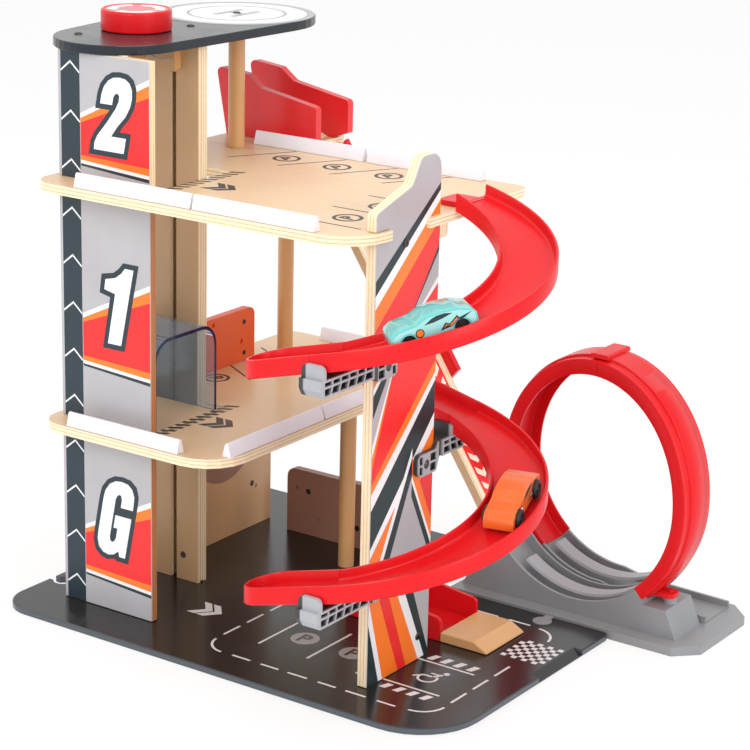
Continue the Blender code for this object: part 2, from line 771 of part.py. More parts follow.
def bracket(name, boss_y, direction, arm_top, arm_start, arm_end, arm_left, lip_y, lip_top):
    """A screwed plate on the side panel, a ribbed arm under a track and a lip that holds the track."""
    left = SIDE_FACE + SEAT_GAP
    plate_right = left + BRACKET_PLATE
    arm_right = arm_left + ARM_WIDTH
    arm_low = arm_top - ARM_HEIGHT
    boss_z = arm_top - 16.7
    back = boss_y - direction * 12
    front = boss_y + direction * 14
    root = arm_start + direction * 6
    outline = [
        (back, boss_z - 9.5, 5),
        (front, boss_z - 9.5, 2),
        (arm_start, arm_low, 2),
        (root, arm_low),
        (root, arm_top),
        (arm_start, arm_top, 2),
        (front, boss_z + 9.5, 2),
        (back, boss_z + 9.5, 5),
    ]
    surface = material("bracket_grey", (0.42, 0.43, 0.45), 0.4)
    made = slab(name, rounded(outline, 3), left, plate_right, "X", surface)
    arm = [
        (arm_start, arm_low),
        (arm_end - direction * 4, arm_low),
        (arm_end, arm_low + 6),
        (arm_end, arm_top),
        (arm_start, arm_top),
    ]
    join(made, arm, arm_left, arm_right, "X", f"{name}_arm")
    lip = rounded(
        [
            (arm_left, arm_top - 4),
            (arm_right, arm_top - 4),
            (arm_right, lip_top, 5),
            (arm_left, lip_top, 5),
        ],
        4,
    )
    lip_ends = sorted((lip_y, lip_y + math.copysign(LIP_THICK, arm_end - lip_y)))
    join(made, lip, lip_ends[0], lip_ends[1], "Y", f"{name}_lip")
    wall = BRACKET_WALL
    pockets = bmesh.new()
    count = max(2, round(abs(arm_end - arm_start) / 11))
    span = (arm_end - direction * 5 - arm_start) / count
    middle = arm_top - 6.8
    for index in range(count):
        near = arm_start + span * index + direction * wall
        far = arm_start + span * (index + 1)
        near_foot = near + (direction * 2.0 if index > 0 else 0.0)
        far_foot = far + (direction * 2.0 if index < count - 1 else 0.0)
        low_cell = [(near_foot, arm_low + wall), (far_foot, arm_low + wall), (far, middle), (near, middle)]
        extrude(pockets, low_cell, arm_left + wall, arm_right + 1, "X")
        extrude(pockets, box(near, far, middle + wall, arm_top - wall), arm_left + wall, arm_right + 1, "X")
    inside = (back + direction * wall, boss_y - direction * 5.5, boss_y + direction * 5.5, front)
    for near, far in ((inside[0], inside[1]), (inside[2], inside[3])):
        for row_low, row_high in ((boss_z - 9.5 + wall, boss_z - wall / 2), (boss_z + wall / 2, boss_z + 9.5 - wall)):
            extrude(pockets, box(near, far, row_low, row_high), left + wall, plate_right + 1, "X")
    boolean(made, pockets, "DIFFERENCE", f"cut_{name}_ribs")
    hole = circle(boss_y, boss_z, BRACKET_SCREW_RADIUS + SEAT_GAP, 16)
    cut(made, hole, left + 3, plate_right + 1, "X", f"cut_{name}_head")
    cut(made, circle(boss_y, boss_z, 2.1, 12), left - 1, left + 4, "X", f"cut_{name}_shank")
    screw(f"{name}_screw", boss_y, boss_z, left)


def screw(name, y, z, left):
    """A pan-head screw whose shank ends at the side panel's face."""
    head = left + 3 + SEAT_GAP
    profile = [
        (0, left - SEAT_GAP + 0.3),
        (1.8, left - SEAT_GAP + 0.3),
        (1.8, head),
        (BRACKET_SCREW_RADIUS, head),
        (BRACKET_SCREW_RADIUS, head + 1.6),
        (BRACKET_SCREW_RADIUS - 1.0, head + 2.6),
        (0, head + 2.6),
    ]
    form = revolve(profile, (0, y, z), "X", 16)
    add_object(name, form, material("screw_steel", (0.2, 0.2, 0.2), 0.35, 1.0), (left, y, z), True)


def make_brackets():
    """Two brackets reach forward to the end cups, and one reaches back to the lower spiral's start."""
    front_wall = TRACK_Y - TRACK_OUTER
    left = SIDE_FACE + SEAT_GAP
    for name, top in (("upper_bracket", UPPER_TRACK_TOP), ("lower_bracket", LOWER_TRACK_TOP)):
        arm_top = top - TRACK_DROP - TRACK_HEIGHT - 1.4
        lip_y = front_wall - SEAT_GAP - 1
        bracket(name, 59.5, -1, arm_top, 17, front_wall - 8, left, lip_y, arm_top + 11)
    near_wall = TRACK_Y + TRACK_OUTER - TRACK_WIDTH
    arm_top = LOWER_TRACK_TOP - TRACK_HEIGHT - 2.2
    bracket("middle_bracket", 118, 1, arm_top, SIDE_BACK + 1, near_wall + 20, left - 12.5,
            near_wall - SEAT_GAP - LIP_THICK, arm_top + 11)


def make_support_block():
    """A wood block with rounded corners under floor two, behind the side panel."""
    top = FLOOR_TWO_TOP - FLOOR_THICK - SEAT_GAP
    outline = rounded([(-150, top - 14, 5), (-101, top - 14, 5), (-101, top), (-150, top)], 4)
    slab("support_block", outline, SIDE_BACK + SEAT_GAP, SIDE_BACK + 12, "Y")


def ramp_corner(along, up):
    """A point of the drop ramp: along runs down its slope from floor two, up is square to it."""
    slope = math.radians(RAMP_ANGLE)
    x = RAMP_TOP_X + along * math.cos(slope) + up * math.sin(slope)
    z = FLOOR_TWO_TOP - along * math.sin(slope) + up * math.cos(slope)
    return (x, z)


def make_drop_ramp():
    """The steep board from floor two down into the loop, with a rail on its far side."""
    slope = math.radians(RAMP_ANGLE)
    length = (FLOOR_TWO_TOP - 62) / math.sin(slope)
    back = RAMP_FRONT + RAMP_WIDTH
    outline = [
        ramp_corner(0, 0),
        ramp_corner(length, 0),
        ramp_corner(length, -RAMP_THICK),
        (RAMP_TOP_X, FLOOR_TWO_TOP - RAMP_THICK / math.cos(slope)),
    ]
    slab("drop_ramp", outline, RAMP_FRONT, back, "Y")
    outline = [
        ramp_corner(6, RAIL_HEIGHT),
        ramp_corner(length * 0.63, RAIL_HEIGHT),
        ramp_corner(length * 0.63 + 5, -RAMP_THICK),
        ramp_corner(14, -RAMP_THICK),
    ]
    slab("drop_ramp_rail", outline, back + SEAT_GAP, back + SEAT_GAP + RAIL_THICK, "Y", red_plastic())


def make_chute():
    """Two stepped red walls on floor two and the sloping floor between them, above the drop ramp."""
    low = FLOOR_TWO_TOP + SEAT_GAP
    outline = rounded(
        [
            (CHUTE_LEFT, low),
            (CHUTE_RIGHT - 16, low),
            (CHUTE_RIGHT, low + 6),
            (CHUTE_RIGHT, low + CHUTE_LOW, 4),
            (-393, low + 47, 8),
            (-408, low + CHUTE_HIGH - 4, 5),
            (CHUTE_LEFT - 12, low + CHUTE_HIGH, 5),
        ],
        4,
    )
    red = material("red_board", (0.66, 0.03, 0.035), 0.4)
    near = RAMP_FRONT - SEAT_GAP
    far = RAMP_FRONT + RAMP_WIDTH + SEAT_GAP
    slab("chute_wall_near", outline, near - CHUTE_WALL, near, "Y", red)
    slab("chute_wall_far", outline, far, far + CHUTE_WALL, "Y", red)
    left = CHUTE_LEFT + 6
    foot = RAMP_TOP_X - 8
    outline = [(left, low), (foot, low), (left, low + 30)]
    slab("chute_floor", outline, near + SEAT_GAP, far - SEAT_GAP, "Y")


def make_exit():
    """The red channel on the ground and the wooden wedge that cars leave by."""
    low = SEAT_GAP
    front = 163.0
    back = 224.0
    right = -106.0
    outline = rounded([(-205, low), (right, low), (right, 21, 5), (-205, 33, 5)], 4)
    piece = slab("exit_channel", outline, front, back, "Y", red_plastic())
    bevel(piece, 0.5)
    cut(piece, box(-215, right + 5, 3, 60), front + 4, back - 4, "Y", "cut_exit_lane")
    outline = [(right + SEAT_GAP, low), (-58.5, low), (-58.5, 2), (-72, 9), (right + SEAT_GAP, 9)]
    wedge = slab("exit_wedge", outline, front, back, "Y", material("beech", BEECH))
    bevel(wedge, 0.8)


def loop_centre_z():
    return LOOP_BOTTOM + LOOP_RAIL_RADIUS


def rail_point(angle, outward=0.0):
    """A point (x, z) on the cradle's rail tops, or further out from the loop's middle."""
    return arc(LOOP_X, loop_centre_z(), LOOP_RAIL_RADIUS + outward, angle, angle, 1)[0]


def make_cradle(base):
    """The two lanes on the loop's base: one leads up to the right foot, one runs out flat."""
    centre_z = loop_centre_z()
    skin = LOOP_RAIL_HEIGHT + LOOP_SKIN
    inner = LANE_WIDTH - 2 * LOOP_SKIN
    right = 270 + LOOP_RIGHT_ANGLE
    near_left = 270 - LOOP_LEFT_ANGLE
    far_left = 270 - LOOP_FAR_ANGLE
    floor_radius = LOOP_RAIL_RADIUS + LOOP_RAIL_HEIGHT
    far_front = LANE_FRONT + LANE_WIDTH + LANE_SPACE
    top = rail_point(near_left)
    end = rail_point(right, skin)
    near = [(LOOP_FOOT_LEFT + 3, 1), (top.x - 10, top.y - 6)]
    near += arc(LOOP_X, centre_z, LOOP_RAIL_RADIUS, near_left, right, 24)
    near += [end, (end.x + 1, PEDESTAL_TOP), (45, PEDESTAL_TOP), (56, 1)]
    far = [(LOOP_FOOT_LEFT + 30, 1), rail_point(far_left, skin)]
    far += arc(LOOP_X, centre_z, LOOP_RAIL_RADIUS, far_left, 270, 12)
    far += [(-24, 10), (FAR_LANE_END, 8), (FAR_LANE_END, 1)]
    for name, outline, front in (("near_cradle", near, LANE_FRONT), ("far_cradle", far, far_front)):
        join(base, list(reversed(outline)), front, front + LANE_WIDTH, "Y", name)
    web = box(-120, 0, 1, LOOP_BOTTOM - 6)
    join(base, web, LANE_FRONT + LANE_WIDTH - 1, far_front + 1, "Y", "cradle_web")
    lane = arc(LOOP_X, centre_z, floor_radius, 200, 330, 40)
    cut(base, lane, LANE_FRONT + LOOP_SKIN, LANE_FRONT + LOOP_SKIN + inner, "Y", "cut_near_lane")
    lane = arc(LOOP_X, centre_z, floor_radius, 200, 270, 24)
    lane += [(-12, 2.8), (FAR_LANE_END + 5, 2.8), (FAR_LANE_END + 5, 60)]
    cut(base, lane, far_front + LOOP_SKIN, far_front + LOOP_SKIN + inner, "Y", "cut_far_lane")


def make_loop_base():
    """The grey base: a foot plate with a jigsaw tab, two cradle lanes and a pedestal with a socket."""
    foot_low = -BOARD_THICK
    foot_top = foot_low + LOOP_FOOT_HEIGHT
    front = BOARD_DEPTH + SEAT_GAP
    chamfer = LOOP_FOOT_CHAMFER
    outline = [
        (LOOP_FOOT_LEFT, front),
        (LOOP_FOOT_RIGHT - chamfer, front),
        (LOOP_FOOT_RIGHT, front + chamfer),
        (LOOP_FOOT_RIGHT, LOOP_FOOT_BACK - chamfer),
        (LOOP_FOOT_RIGHT - chamfer, LOOP_FOOT_BACK),
        (LOOP_FOOT_LEFT, LOOP_FOOT_BACK),
    ]
    base = slab("loop_base", outline, foot_low, foot_top, surface=grey_plastic())
    tab = jigsaw(BACK_JIGSAW_X, BOARD_DEPTH, 0, -JIGSAW_REACH, JIGSAW_RADIUS - 0.5, JIGSAW_NECK - 1)
    join(base, tab, foot_low, 0.5, "Z", "loop_base_tab")
    make_cradle(base)
    collar = circle(PEG_X, PEG_Y, PEG_RADIUS + 3.2, 20)
    join(base, collar, PEDESTAL_TOP - 2, PEDESTAL_TOP + 6, "Z", "peg_collar")
    bore = circle(PEG_X, PEG_Y, PEG_RADIUS + SEAT_GAP, 20)
    cut(base, bore, PEDESTAL_TOP - 6, PEDESTAL_TOP + 7, "Z", "cut_peg_bore")


def ring_section():
    """The loop track's U section, as (across, in) with its walls pointing to the loop's middle."""
    return channel(LANE_WIDTH, LOOP_RAIL_HEIGHT + LOOP_SKIN, LOOP_RAIL_HEIGHT, LOOP_SKIN, LOOP_SKIN)


def ring_ends():
    """The angles of the ring's right and left feet, a seat gap clear of the cradle's ends."""
    gap = math.degrees(SEAT_GAP / LOOP_RAIL_RADIUS)
    return (LOOP_RIGHT_ANGLE - 90 + gap, 270 - LOOP_FAR_ANGLE - gap)


def ring_point(angle, across, inward):
    """A point of the loop: angle 0 is at the right, 90 on top; the track leans back as it goes round."""
    first, last = ring_ends()
    share = (angle - first) / (last - first)
    share = share * share * (3 - 2 * share)
    y = LANE_FRONT + LANE_WIDTH / 2 + (LANE_WIDTH + LANE_SPACE) * share + across
    turned = math.radians(angle)
    reach = LOOP_RAIL_RADIUS - inward
    tall = LOOP_TALL if math.sin(turned) > 0 else 1.0
    return Vector((LOOP_X + reach * math.cos(turned), y, loop_centre_z() + reach * tall * math.sin(turned)))


def make_loop_ring():
    """Two half rings that meet on top under a clip, and the peg that plugs into the base."""
    first, last = ring_ends()
    middle = 90.0
    spans = {"loop_ring_right": (first, middle - 0.1), "loop_ring_left": (middle + 0.1, last)}
    halves = {}
    for name, (start, end) in spans.items():
        steps = 26
        sections = []
        for step in range(steps + 1):
            angle = start + (end - start) * step / steps
            sections.append([ring_point(angle, across, inward) for across, inward in ring_section()])
        place = (LOOP_X, LANE_FRONT, loop_centre_z())
        halves[name] = add_object(name, sweep(sections), red_plastic(), place, True)
    low = PEDESTAL_TOP + 6 + SEAT_GAP
    ear = rounded([(26, PEG_Y - 8), (PEG_X + 6, PEG_Y - 8, 5), (PEG_X + 6, PEG_Y + 8, 5), (26, PEG_Y + 8)], 4)
    join(halves["loop_ring_right"], ear, low, low + 4, "Z", "peg_ear")
    peg = circle(PEG_X, PEG_Y, PEG_RADIUS, 20)
    join(halves["loop_ring_right"], peg, PEDESTAL_TOP - 4, low + 6, "Z", "peg")
    top = ring_point(middle, 0, -LOOP_RAIL_HEIGHT - LOOP_SKIN)
    low = top.z + SEAT_GAP
    outline = rounded([(top.x - 9, low), (top.x + 9, low), (top.x + 9, low + 4, 2), (top.x - 9, low + 4, 2)], 3)
    half = LANE_WIDTH / 2 - 4
    slab("loop_clip", outline, top.y - half, top.y + half, "Y", red_plastic())


def car_outline():
    """The side view of a car's body, from its nose on the left."""
    low = CAR_CLEARANCE
    half = CAR_LENGTH / 2
    return rounded(
        [
            (-half, low, 2),
            (half, low, 2),
            (half, low + 9, 3),
            (half - 12, low + 10.5, 6),
            (half - 24, CAR_HEIGHT, 9),
            (-half + 26, CAR_HEIGHT, 9),
            (-half + 14, low + 8.5, 9),
            (-half, low + 6, 3),
        ],
        4,
    )


def make_car(name, colour, angle, top):
    """A toy car on a spiral: its empty carries it, so the whole car turns with the track."""
    place = track_point(angle, 0, top - TRACK_DEPTH)
    holder = bpy.data.objects.new(f"{name}_place", None)
    bpy.context.scene.collection.objects.link(holder)
    holder.parent = bpy.data.objects["garage"]
    middle = TRACK_OUTER - TRACK_WIDTH / 2
    pitch = math.atan(TRACK_DROP / (math.pi * middle))
    heading = Matrix.Rotation(math.radians(angle + 90), 4, "Z")
    tilt = Matrix.Rotation(-pitch, 4, "Y")
    holder.matrix_local = Matrix.Translation((place + Vector((0, 0, CAR_LIFT))) * MM) @ heading @ tilt
    half = CAR_WIDTH / 2
    body = slab(f"{name}_body", car_outline(), -half, half, "Y", material(f"{name}_paint", colour, 0.3),
                False, (0, 0, 0))
    body.parent = holder
    bevel(body, 1.6, 2, 30)
    for end, x in (("front", -WHEEL_BASE / 2), ("rear", WHEEL_BASE / 2)):
        bore = cut(body, circle(x, WHEEL_RADIUS, AXLE_BORE, 12), -half - 1, half + 1, "Y",
                   f"cut_{name}_{end}_bore")
        bore.parent = holder
        for side in (-1, 1):
            edge = sorted((side * (half - WHEEL_WIDTH - 1), side * (half + 1)))
            arch = cut(body, circle(x, WHEEL_RADIUS, WHEEL_RADIUS + 1.2, 20), edge[0], edge[1], "Y",
                       f"cut_{name}_{end}_arch_{side + 1}")
            arch.parent = holder
        inner = half - WHEEL_WIDTH
        profile = [
            (0, -half),
            (WHEEL_RADIUS - 0.8, -half),
            (WHEEL_RADIUS, -half + 0.8),
            (WHEEL_RADIUS, -inner),
            (AXLE_RADIUS, -inner),
            (AXLE_RADIUS, inner),
            (WHEEL_RADIUS, inner),
            (WHEEL_RADIUS, half - 0.8),
            (WHEEL_RADIUS - 0.8, half),
            (0, half),
        ]
        form = revolve(profile, (x, 0, WHEEL_RADIUS), "Y", 20)
        axle = add_object(f"{name}_{end}_wheels", form, material("tyre_black", (0.02, 0.02, 0.02), 0.6),
                          (x, 0, WHEEL_RADIUS), True)
        axle.parent = holder


def make_lift():
    """The lift car, resting at floor one: plywood floor, blue hood and the slider in the guide wall."""
    front = TOWER_FRONT + PANEL_THICK + RUN_GAP
    back = GUIDE_FRONT - RUN_GAP
    right = TOWER_RIGHT + 1.5
    left = right - HOOD_DEPTH
    low = FLOOR_ONE_TOP - LIFT_FLOOR_THICK
    top = FLOOR_ONE_TOP
    outline = [(left, low), (right - 2, low), (right, low + 3), (right - LIFT_FLOOR_NOSE, top)]
    outline += [(left + 5, top), (left + 5, top + LIFT_LIP), (left, top + LIFT_LIP)]
    slab("lift_floor", outline, front, back, "Y", plywood(), False, (left, front, low))
    skin = HOOD_THICK
    base = top + SEAT_GAP
    outer = rounded(
        [(front, base), (back, base), (back, base + HOOD_HEIGHT, HOOD_RADIUS), (front, base + HOOD_HEIGHT, HOOD_RADIUS)],
        6,
    )
    inner = rounded(
        [
            (front + skin, base - 2),
            (back - skin, base - 2),
            (back - skin, base + HOOD_HEIGHT - skin, HOOD_RADIUS - skin),
            (front + skin, base + HOOD_HEIGHT - skin, HOOD_RADIUS - skin),
        ],
        6,
    )
    blue = material("blue_acrylic", (0.1, 0.22, 0.5), 0.08, 0.0, 0.45)
    hood_left = left + 5 + SEAT_GAP
    hood_right = right - LIFT_FLOOR_NOSE
    hood = slab("lift_hood", outer, hood_left, hood_right, "X", blue, True)
    cut(hood, inner, hood_left - 1, hood_right + 1, "X", "cut_hood_inside")
    slot_middle = SLOT_LEFT + SLOT_WIDTH / 2
    half = SLOT_WIDTH / 2 - 0.6
    neck = box(slot_middle - half, slot_middle + half, low + 1, top - 1)
    inside = GUIDE_FRONT + GUIDE_THICK
    slider = slab("lift_slider", neck, back + SEAT_GAP, inside + 1, "Y", material("beech", BEECH))
    shoe = rounded([(slot_middle - 9, low + 1, 2), (slot_middle + 9, low + 1, 2),
                    (slot_middle + 9, top + 30, 2), (slot_middle - 9, top + 30, 2)], 3)
    join(slider, shoe, inside + 0.6, inside + GUIDE_GAP - 0.6, "Y", "lift_slider_shoe")


def main():
    for old in list(bpy.data.objects):
        bpy.data.objects.remove(old, do_unlink=True)
    garage = bpy.data.objects.new("garage", None)
    bpy.context.scene.collection.objects.link(garage)
    garage.location = (BOARD_LENGTH / 2 * MM, -BOARD_DEPTH / 2 * MM, BOARD_THICK * MM)
    make_base_board()
    make_tower_panels()
    make_guide()
    make_string_parts()
    make_roof()
    make_floors()
    make_side_panel()
    make_wall_boards()
    make_dowels()
    make_kerbs()
    make_tracks()
    make_brackets()
    make_support_block()
    make_drop_ramp()
    make_chute()
    make_exit()
    make_loop_base()
    make_loop_ring()
    make_lift()
    make_car("teal_car", (0.2, 0.6, 0.58), TEAL_ANGLE, UPPER_TRACK_TOP)
    make_car("orange_car", (0.85, 0.25, 0.03), ORANGE_ANGLE, LOWER_TRACK_TOP)


main()
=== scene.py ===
"""Toy garage, dressed: a wooden parking tower with a lift, two spiral tracks, a drop ramp and a loop.

Lengths in the tables are millimetres of the garage's own frame: x = 0 is the board's right edge, y = 0 its
front edge and z = 0 its top. The function at() turns them into metres of the shared frame.
"""

import math

import bpy
from bpy.props import FloatProperty, FloatVectorProperty, PointerProperty
from mathutils import Matrix, Vector


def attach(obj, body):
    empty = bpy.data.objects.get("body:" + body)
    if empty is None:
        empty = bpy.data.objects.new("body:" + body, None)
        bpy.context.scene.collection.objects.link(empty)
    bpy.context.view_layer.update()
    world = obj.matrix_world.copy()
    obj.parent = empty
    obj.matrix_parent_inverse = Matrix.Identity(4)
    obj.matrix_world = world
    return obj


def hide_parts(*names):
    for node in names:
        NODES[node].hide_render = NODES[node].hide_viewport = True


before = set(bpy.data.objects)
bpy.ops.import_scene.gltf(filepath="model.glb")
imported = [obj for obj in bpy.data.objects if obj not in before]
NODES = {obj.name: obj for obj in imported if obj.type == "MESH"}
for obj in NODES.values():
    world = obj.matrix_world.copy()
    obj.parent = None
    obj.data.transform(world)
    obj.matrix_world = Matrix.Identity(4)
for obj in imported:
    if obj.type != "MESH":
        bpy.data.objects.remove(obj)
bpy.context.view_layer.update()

bl_info = {
    "name": "Toy Garage",
    "version": (1, 0, 0),
    "blender": (4, 5, 0),
    "location": "View3D > Sidebar > Toy Garage",
    "description": "Dresses a wooden toy garage with its tracks, prints, cars and materials",
    "category": "Object",
}

MM = 0.001
ORIGIN = Vector((233.0, -135.0, 6.0))
WORLD_ORIGIN = tuple(-ORIGIN)

# Levels and faces of the garage, as in its drawing
FLOOR_ONE_TOP = 170.0
FLOOR_TWO_TOP = 382.0
ROOF_TOP = 498.0
TOWER_FRONT = 45.0
SIDE_FACE, SIDE_FRONT, SIDE_BACK = -100.6, 46.0, 136.0
WALL_FACE, TAUPE_FACE, GUIDE_FACE = -404.0, 300.0, 139.0

# Spiral tracks
TRACK_X, TRACK_Y = -96.7, 77.0
TRACK_OUTER, TRACK_WIDTH, TRACK_WALL = 122.0, 47.0, 2.6
TRACK_HEIGHT, TRACK_DEPTH, TRACK_FLOOR = 15.0, 9.0, 2.6
TRACK_MIDDLE = TRACK_OUTER - TRACK_WIDTH / 2
TRACK_DROP = 90.0
TRACK_JOINT = 0.3
UPPER_TOP, LOWER_TOP = 396.0, 209.5
CUP_LENGTH, CUP_SLOPE = 72.0, 0.27
LEAD_LENGTH, LEAD_SLOPE = 100.0, -0.233

# Depth of the fine relief on every finish, in metres
RELIEF_DEPTH = 0.0002

# Brackets: where painted shade begins in the cells of their two arms and of the plate behind them, in metres
FRONT_ARM_SHADE, BACK_ARM_SHADE, BRACKET_PLATE_SHADE = (0.1532, 0.1508), (0.1405, 0.138), (0.1374, 0.1362)
ARM_MIDDLE, ARM_HALF = 0.135, 0.0445

# Loop
LOOP_X, LOOP_Z, LOOP_RADIUS, LOOP_TALL = -48.0, 108.5, 93.0, 1.15
LOOP_FRONT, LANE_SPACE = 285.0, 4.0
LOOP_RIGHT_END, LOOP_LEFT_END = 42 - 90, 270 - 40
PEG_X, PEG_Y, PEDESTAL_TOP = 39.0, 305.0, 27.0

# Knob, landing pad and drop ramp
KNOB_X, KNOB_Y, KNOB_RADIUS, KNOB_HEIGHT = -411.0, 128.0, 30.5, 18.0
PAD_X, PAD_Y = -407.0, 262.0
RAMP_TOP_X, RAMP_ANGLE, RAMP_FRONT = -343.7, 56.4, 288.0

# Kerbs: axis, start, end, middle line and floor, and the section they share
KERBS = {
    "kerb_one_front": ("X", -401.5, -279.5, 26.0, FLOOR_ONE_TOP),
    "kerb_one_right_a": ("Y", 41.5, 173.0, -243.0, FLOOR_ONE_TOP),
    "kerb_one_right_b": ("Y", 176.0, 274.0, -243.0, FLOOR_ONE_TOP),
    "kerb_one_back": ("X", -390.0, -262.0, 378.0, FLOOR_ONE_TOP),
    "kerb_two_front_a": ("X", -385.4, -262.4, 21.0, FLOOR_TWO_TOP),
    "kerb_two_front_b": ("X", -260.0, -139.5, 21.0, FLOOR_TWO_TOP),
    "kerb_two_back_a": ("X", -383.0, -263.0, 262.0, FLOOR_TWO_TOP),
    "kerb_two_back_b": ("X", -258.5, -139.5, 262.0, FLOOR_TWO_TOP),
}
KERB_SECTION = [
    (-4.4, 0.3), (4.4, 0.3), (4.4, 1.0), (1.6, 11.4), (0.8, 12.2), (-0.8, 12.2), (-1.6, 11.4), (-4.4, 1.0),
]

# Toy cars: the angle of each on its spiral and the spiral's top, then their shapes
CAR_LOW, CAR_HALF_LENGTH = 3.5, 34.0
CAR_LIFT, WHEEL_RADIUS, WHEEL_BASE = 1.6, 7.6, 42.0
AXLES = {"front": -WHEEL_BASE / 2, "rear": WHEEL_BASE / 2}
CARS = {"teal_car": (-42.0, UPPER_TOP), "orange_car": (13.0, LOWER_TOP)}
CAR_DESIGN = {
    "teal_car": {
        "paint": "teal_gloss", "slot": "teal_paint", "half": 15.0, "mark": "ink_orange",
        "arch": 6.0, "arch_level": 4.6, "wheel": (7.0, 13.0, 4.4),
    },
    "orange_car": {
        "paint": "orange_gloss", "slot": "orange_paint", "half": 12.4, "mark": "ink_white",
        "arch": 8.0, "arch_level": WHEEL_RADIUS, "wheel": (WHEEL_RADIUS, 15.4, 5.8),
    },
}
ROOF_LINE = [
    (-34, 9.5), (-31.5, 13.8), (-26, 15.9), (-16, 16.6), (-1, 20.6), (8, 21.0), (19, 19.8), (31, 16.0),
    (34, 12.4),
]

# Prints are this thick and lie in layers this far apart, the first this far off its face
INK_THICK, INK_STEP, INK_GAP = 0.04, 0.05, 0.02

# The storeys' numerals lean by this share of their height
NUMERAL_LEAN = 0.2

# Camera, solved from the board's corners and the tower's edges in the picture
CAMERA_PLACE = (911.9, -1427.4, 813.8)
CAMERA_AHEAD, CAMERA_RIGHT, CAMERA_ROLL = (-0.5452, 0.7896, -0.2817), (0.8229, 0.5682, 0.0), 1.28
CAMERA_LENS, CAMERA_SHIFT = 114.34, (0.00824, -0.03423)


def at(x, y, z):
    """A point of the garage's frame, in metres of the shared frame."""
    return (Vector((x, y, z)) + ORIGIN) * MM


def colour_property(name, text, value):
    """A colour that a user can set."""
    return FloatVectorProperty(
        name=name, description=text, default=value, size=3, subtype="COLOR", min=0, max=1
    )


class ToyGarageColours(bpy.types.PropertyGroup):
    """Colours that a user would change, as linear values."""

    red: colour_property("Red plastic", "Tracks, cups, loop and knob", (0.66, 0.008, 0.012))
    birch: colour_property("Birch", "Light wood of the floors and boards", (0.82, 0.60, 0.38))
    beech: colour_property("Beech", "Darker wood of the posts and the wedge", (0.80, 0.48, 0.22))
    board: colour_property("Board", "Glossy face of the base board", (0.014, 0.013, 0.013))
    board_edge: colour_property("Board edge", "Painted edge of the base board", (0.075, 0.088, 0.105))
    panel: colour_property("Panel", "Printed grey of the tower and the side panel", (0.43, 0.42, 0.44))
    slate: colour_property("Slate", "Dark strips and outlines of the prints", (0.014, 0.030, 0.042))
    ink_red: colour_property("Red ink", "Red fields of the prints", (0.84, 0.016, 0.016))
    ink_orange: colour_property("Orange ink", "Orange bands of the prints", (0.95, 0.19, 0.012))
    ink_white: colour_property("White ink", "White bands, numerals and road marks", (0.84, 0.84, 0.86))
    ink_dark: colour_property("Dark ink", "Near-black stripes of the side panel", (0.006, 0.025, 0.03))
    kerb: colour_property("Kerb", "White painted rails", (0.80, 0.77, 0.83))
    grey: colour_property("Grey plastic", "Loop base", (0.25, 0.26, 0.27))
    bracket: colour_property("Bracket", "Track brackets", (0.36, 0.37, 0.39))
    acrylic: colour_property("Acrylic", "Clear blue lift hood", (0.66, 0.80, 0.95))
    teal: colour_property("Teal paint", "Body of the upper car", (0.11, 0.50, 0.48))
    orange: colour_property("Orange paint", "Body of the lower car", (0.85, 0.16, 0.02))


class ToyGarageSizes(bpy.types.PropertyGroup):
    """Small sizes that a user would change."""

    rim: FloatProperty(
        name="Track rim", description="Rounding of the track's rims",
        default=0.0009, unit="LENGTH", min=0.0002,
    )
    label: FloatProperty(
        name="Knob label", description="Outer radius of the label on the knob",
        default=0.0268, unit="LENGTH", min=0.02,
    )


def colours():
    return bpy.context.scene.toy_garage_colours


def sizes():
    return bpy.context.scene.toy_garage_sizes


# Selection and finishing


def only(piece):
    """Selects one object alone and makes it active."""
    bpy.ops.object.select_all(action="DESELECT")
    piece.select_set(True)
    bpy.context.view_layer.objects.active = piece


def apply_all(piece):
    """Applies the object's modifiers in order."""
    only(piece)
    for modifier in list(piece.modifiers):
        bpy.ops.object.modifier_apply(modifier=modifier.name)


def settle(piece):
    """Applies the object's place, so that it sits at the origin."""
    only(piece)
    bpy.ops.object.transform_apply(location=True, rotation=True, scale=True)


def clean(piece):
    """Merges doubles and points the faces outwards."""
    only(piece)
    bpy.ops.object.mode_set(mode="EDIT")
    bpy.ops.mesh.select_all(action="SELECT")
    bpy.ops.mesh.remove_doubles(threshold=0.000001)
    bpy.ops.mesh.normals_make_consistent(inside=False)
    bpy.ops.object.mode_set(mode="OBJECT")


def hand_over(piece, name, body, finish, smooth=None):
    """Names a finished piece, gives it its material and lets it ride on a body."""
    piece.name = name
    piece.data.name = name
    piece.data.materials.clear()
    piece.data.materials.append(surface(finish))
    if smooth:
        only(piece)
        bpy.ops.object.shade_smooth_by_angle(angle=math.radians(smooth))
    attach(piece, body)
    return piece


def joined(pieces):
    """Joins objects into the first one."""
    bpy.ops.object.select_all(action="DESELECT")
    for piece in pieces:
        piece.select_set(True)
    bpy.context.view_layer.objects.active = pieces[0]
    bpy.ops.object.join()
    return pieces[0]


def cut(piece, cutter):
    """Takes the cutter's volume out of a piece."""
    step = piece.modifiers.new("cut", "BOOLEAN")
    step.operation = "DIFFERENCE"
    step.solver = "EXACT"
    step.object = cutter
    apply_all(piece)
    bpy.data.objects.remove(cutter)


# Outlines


def arc(u, v, radius, first, last, steps):
    """Points on an arc from one angle to another, in degrees."""
    turned = [math.radians(first + (last - first) * k / steps) for k in range(steps + 1)]
    return [(u + radius * math.cos(a), v + radius * math.sin(a)) for a in turned]


def disc(u, v, radius, sides=48):
    """A round outline."""
    return arc(u, v, radius, 0, 360 - 360 / sides, sides - 1)


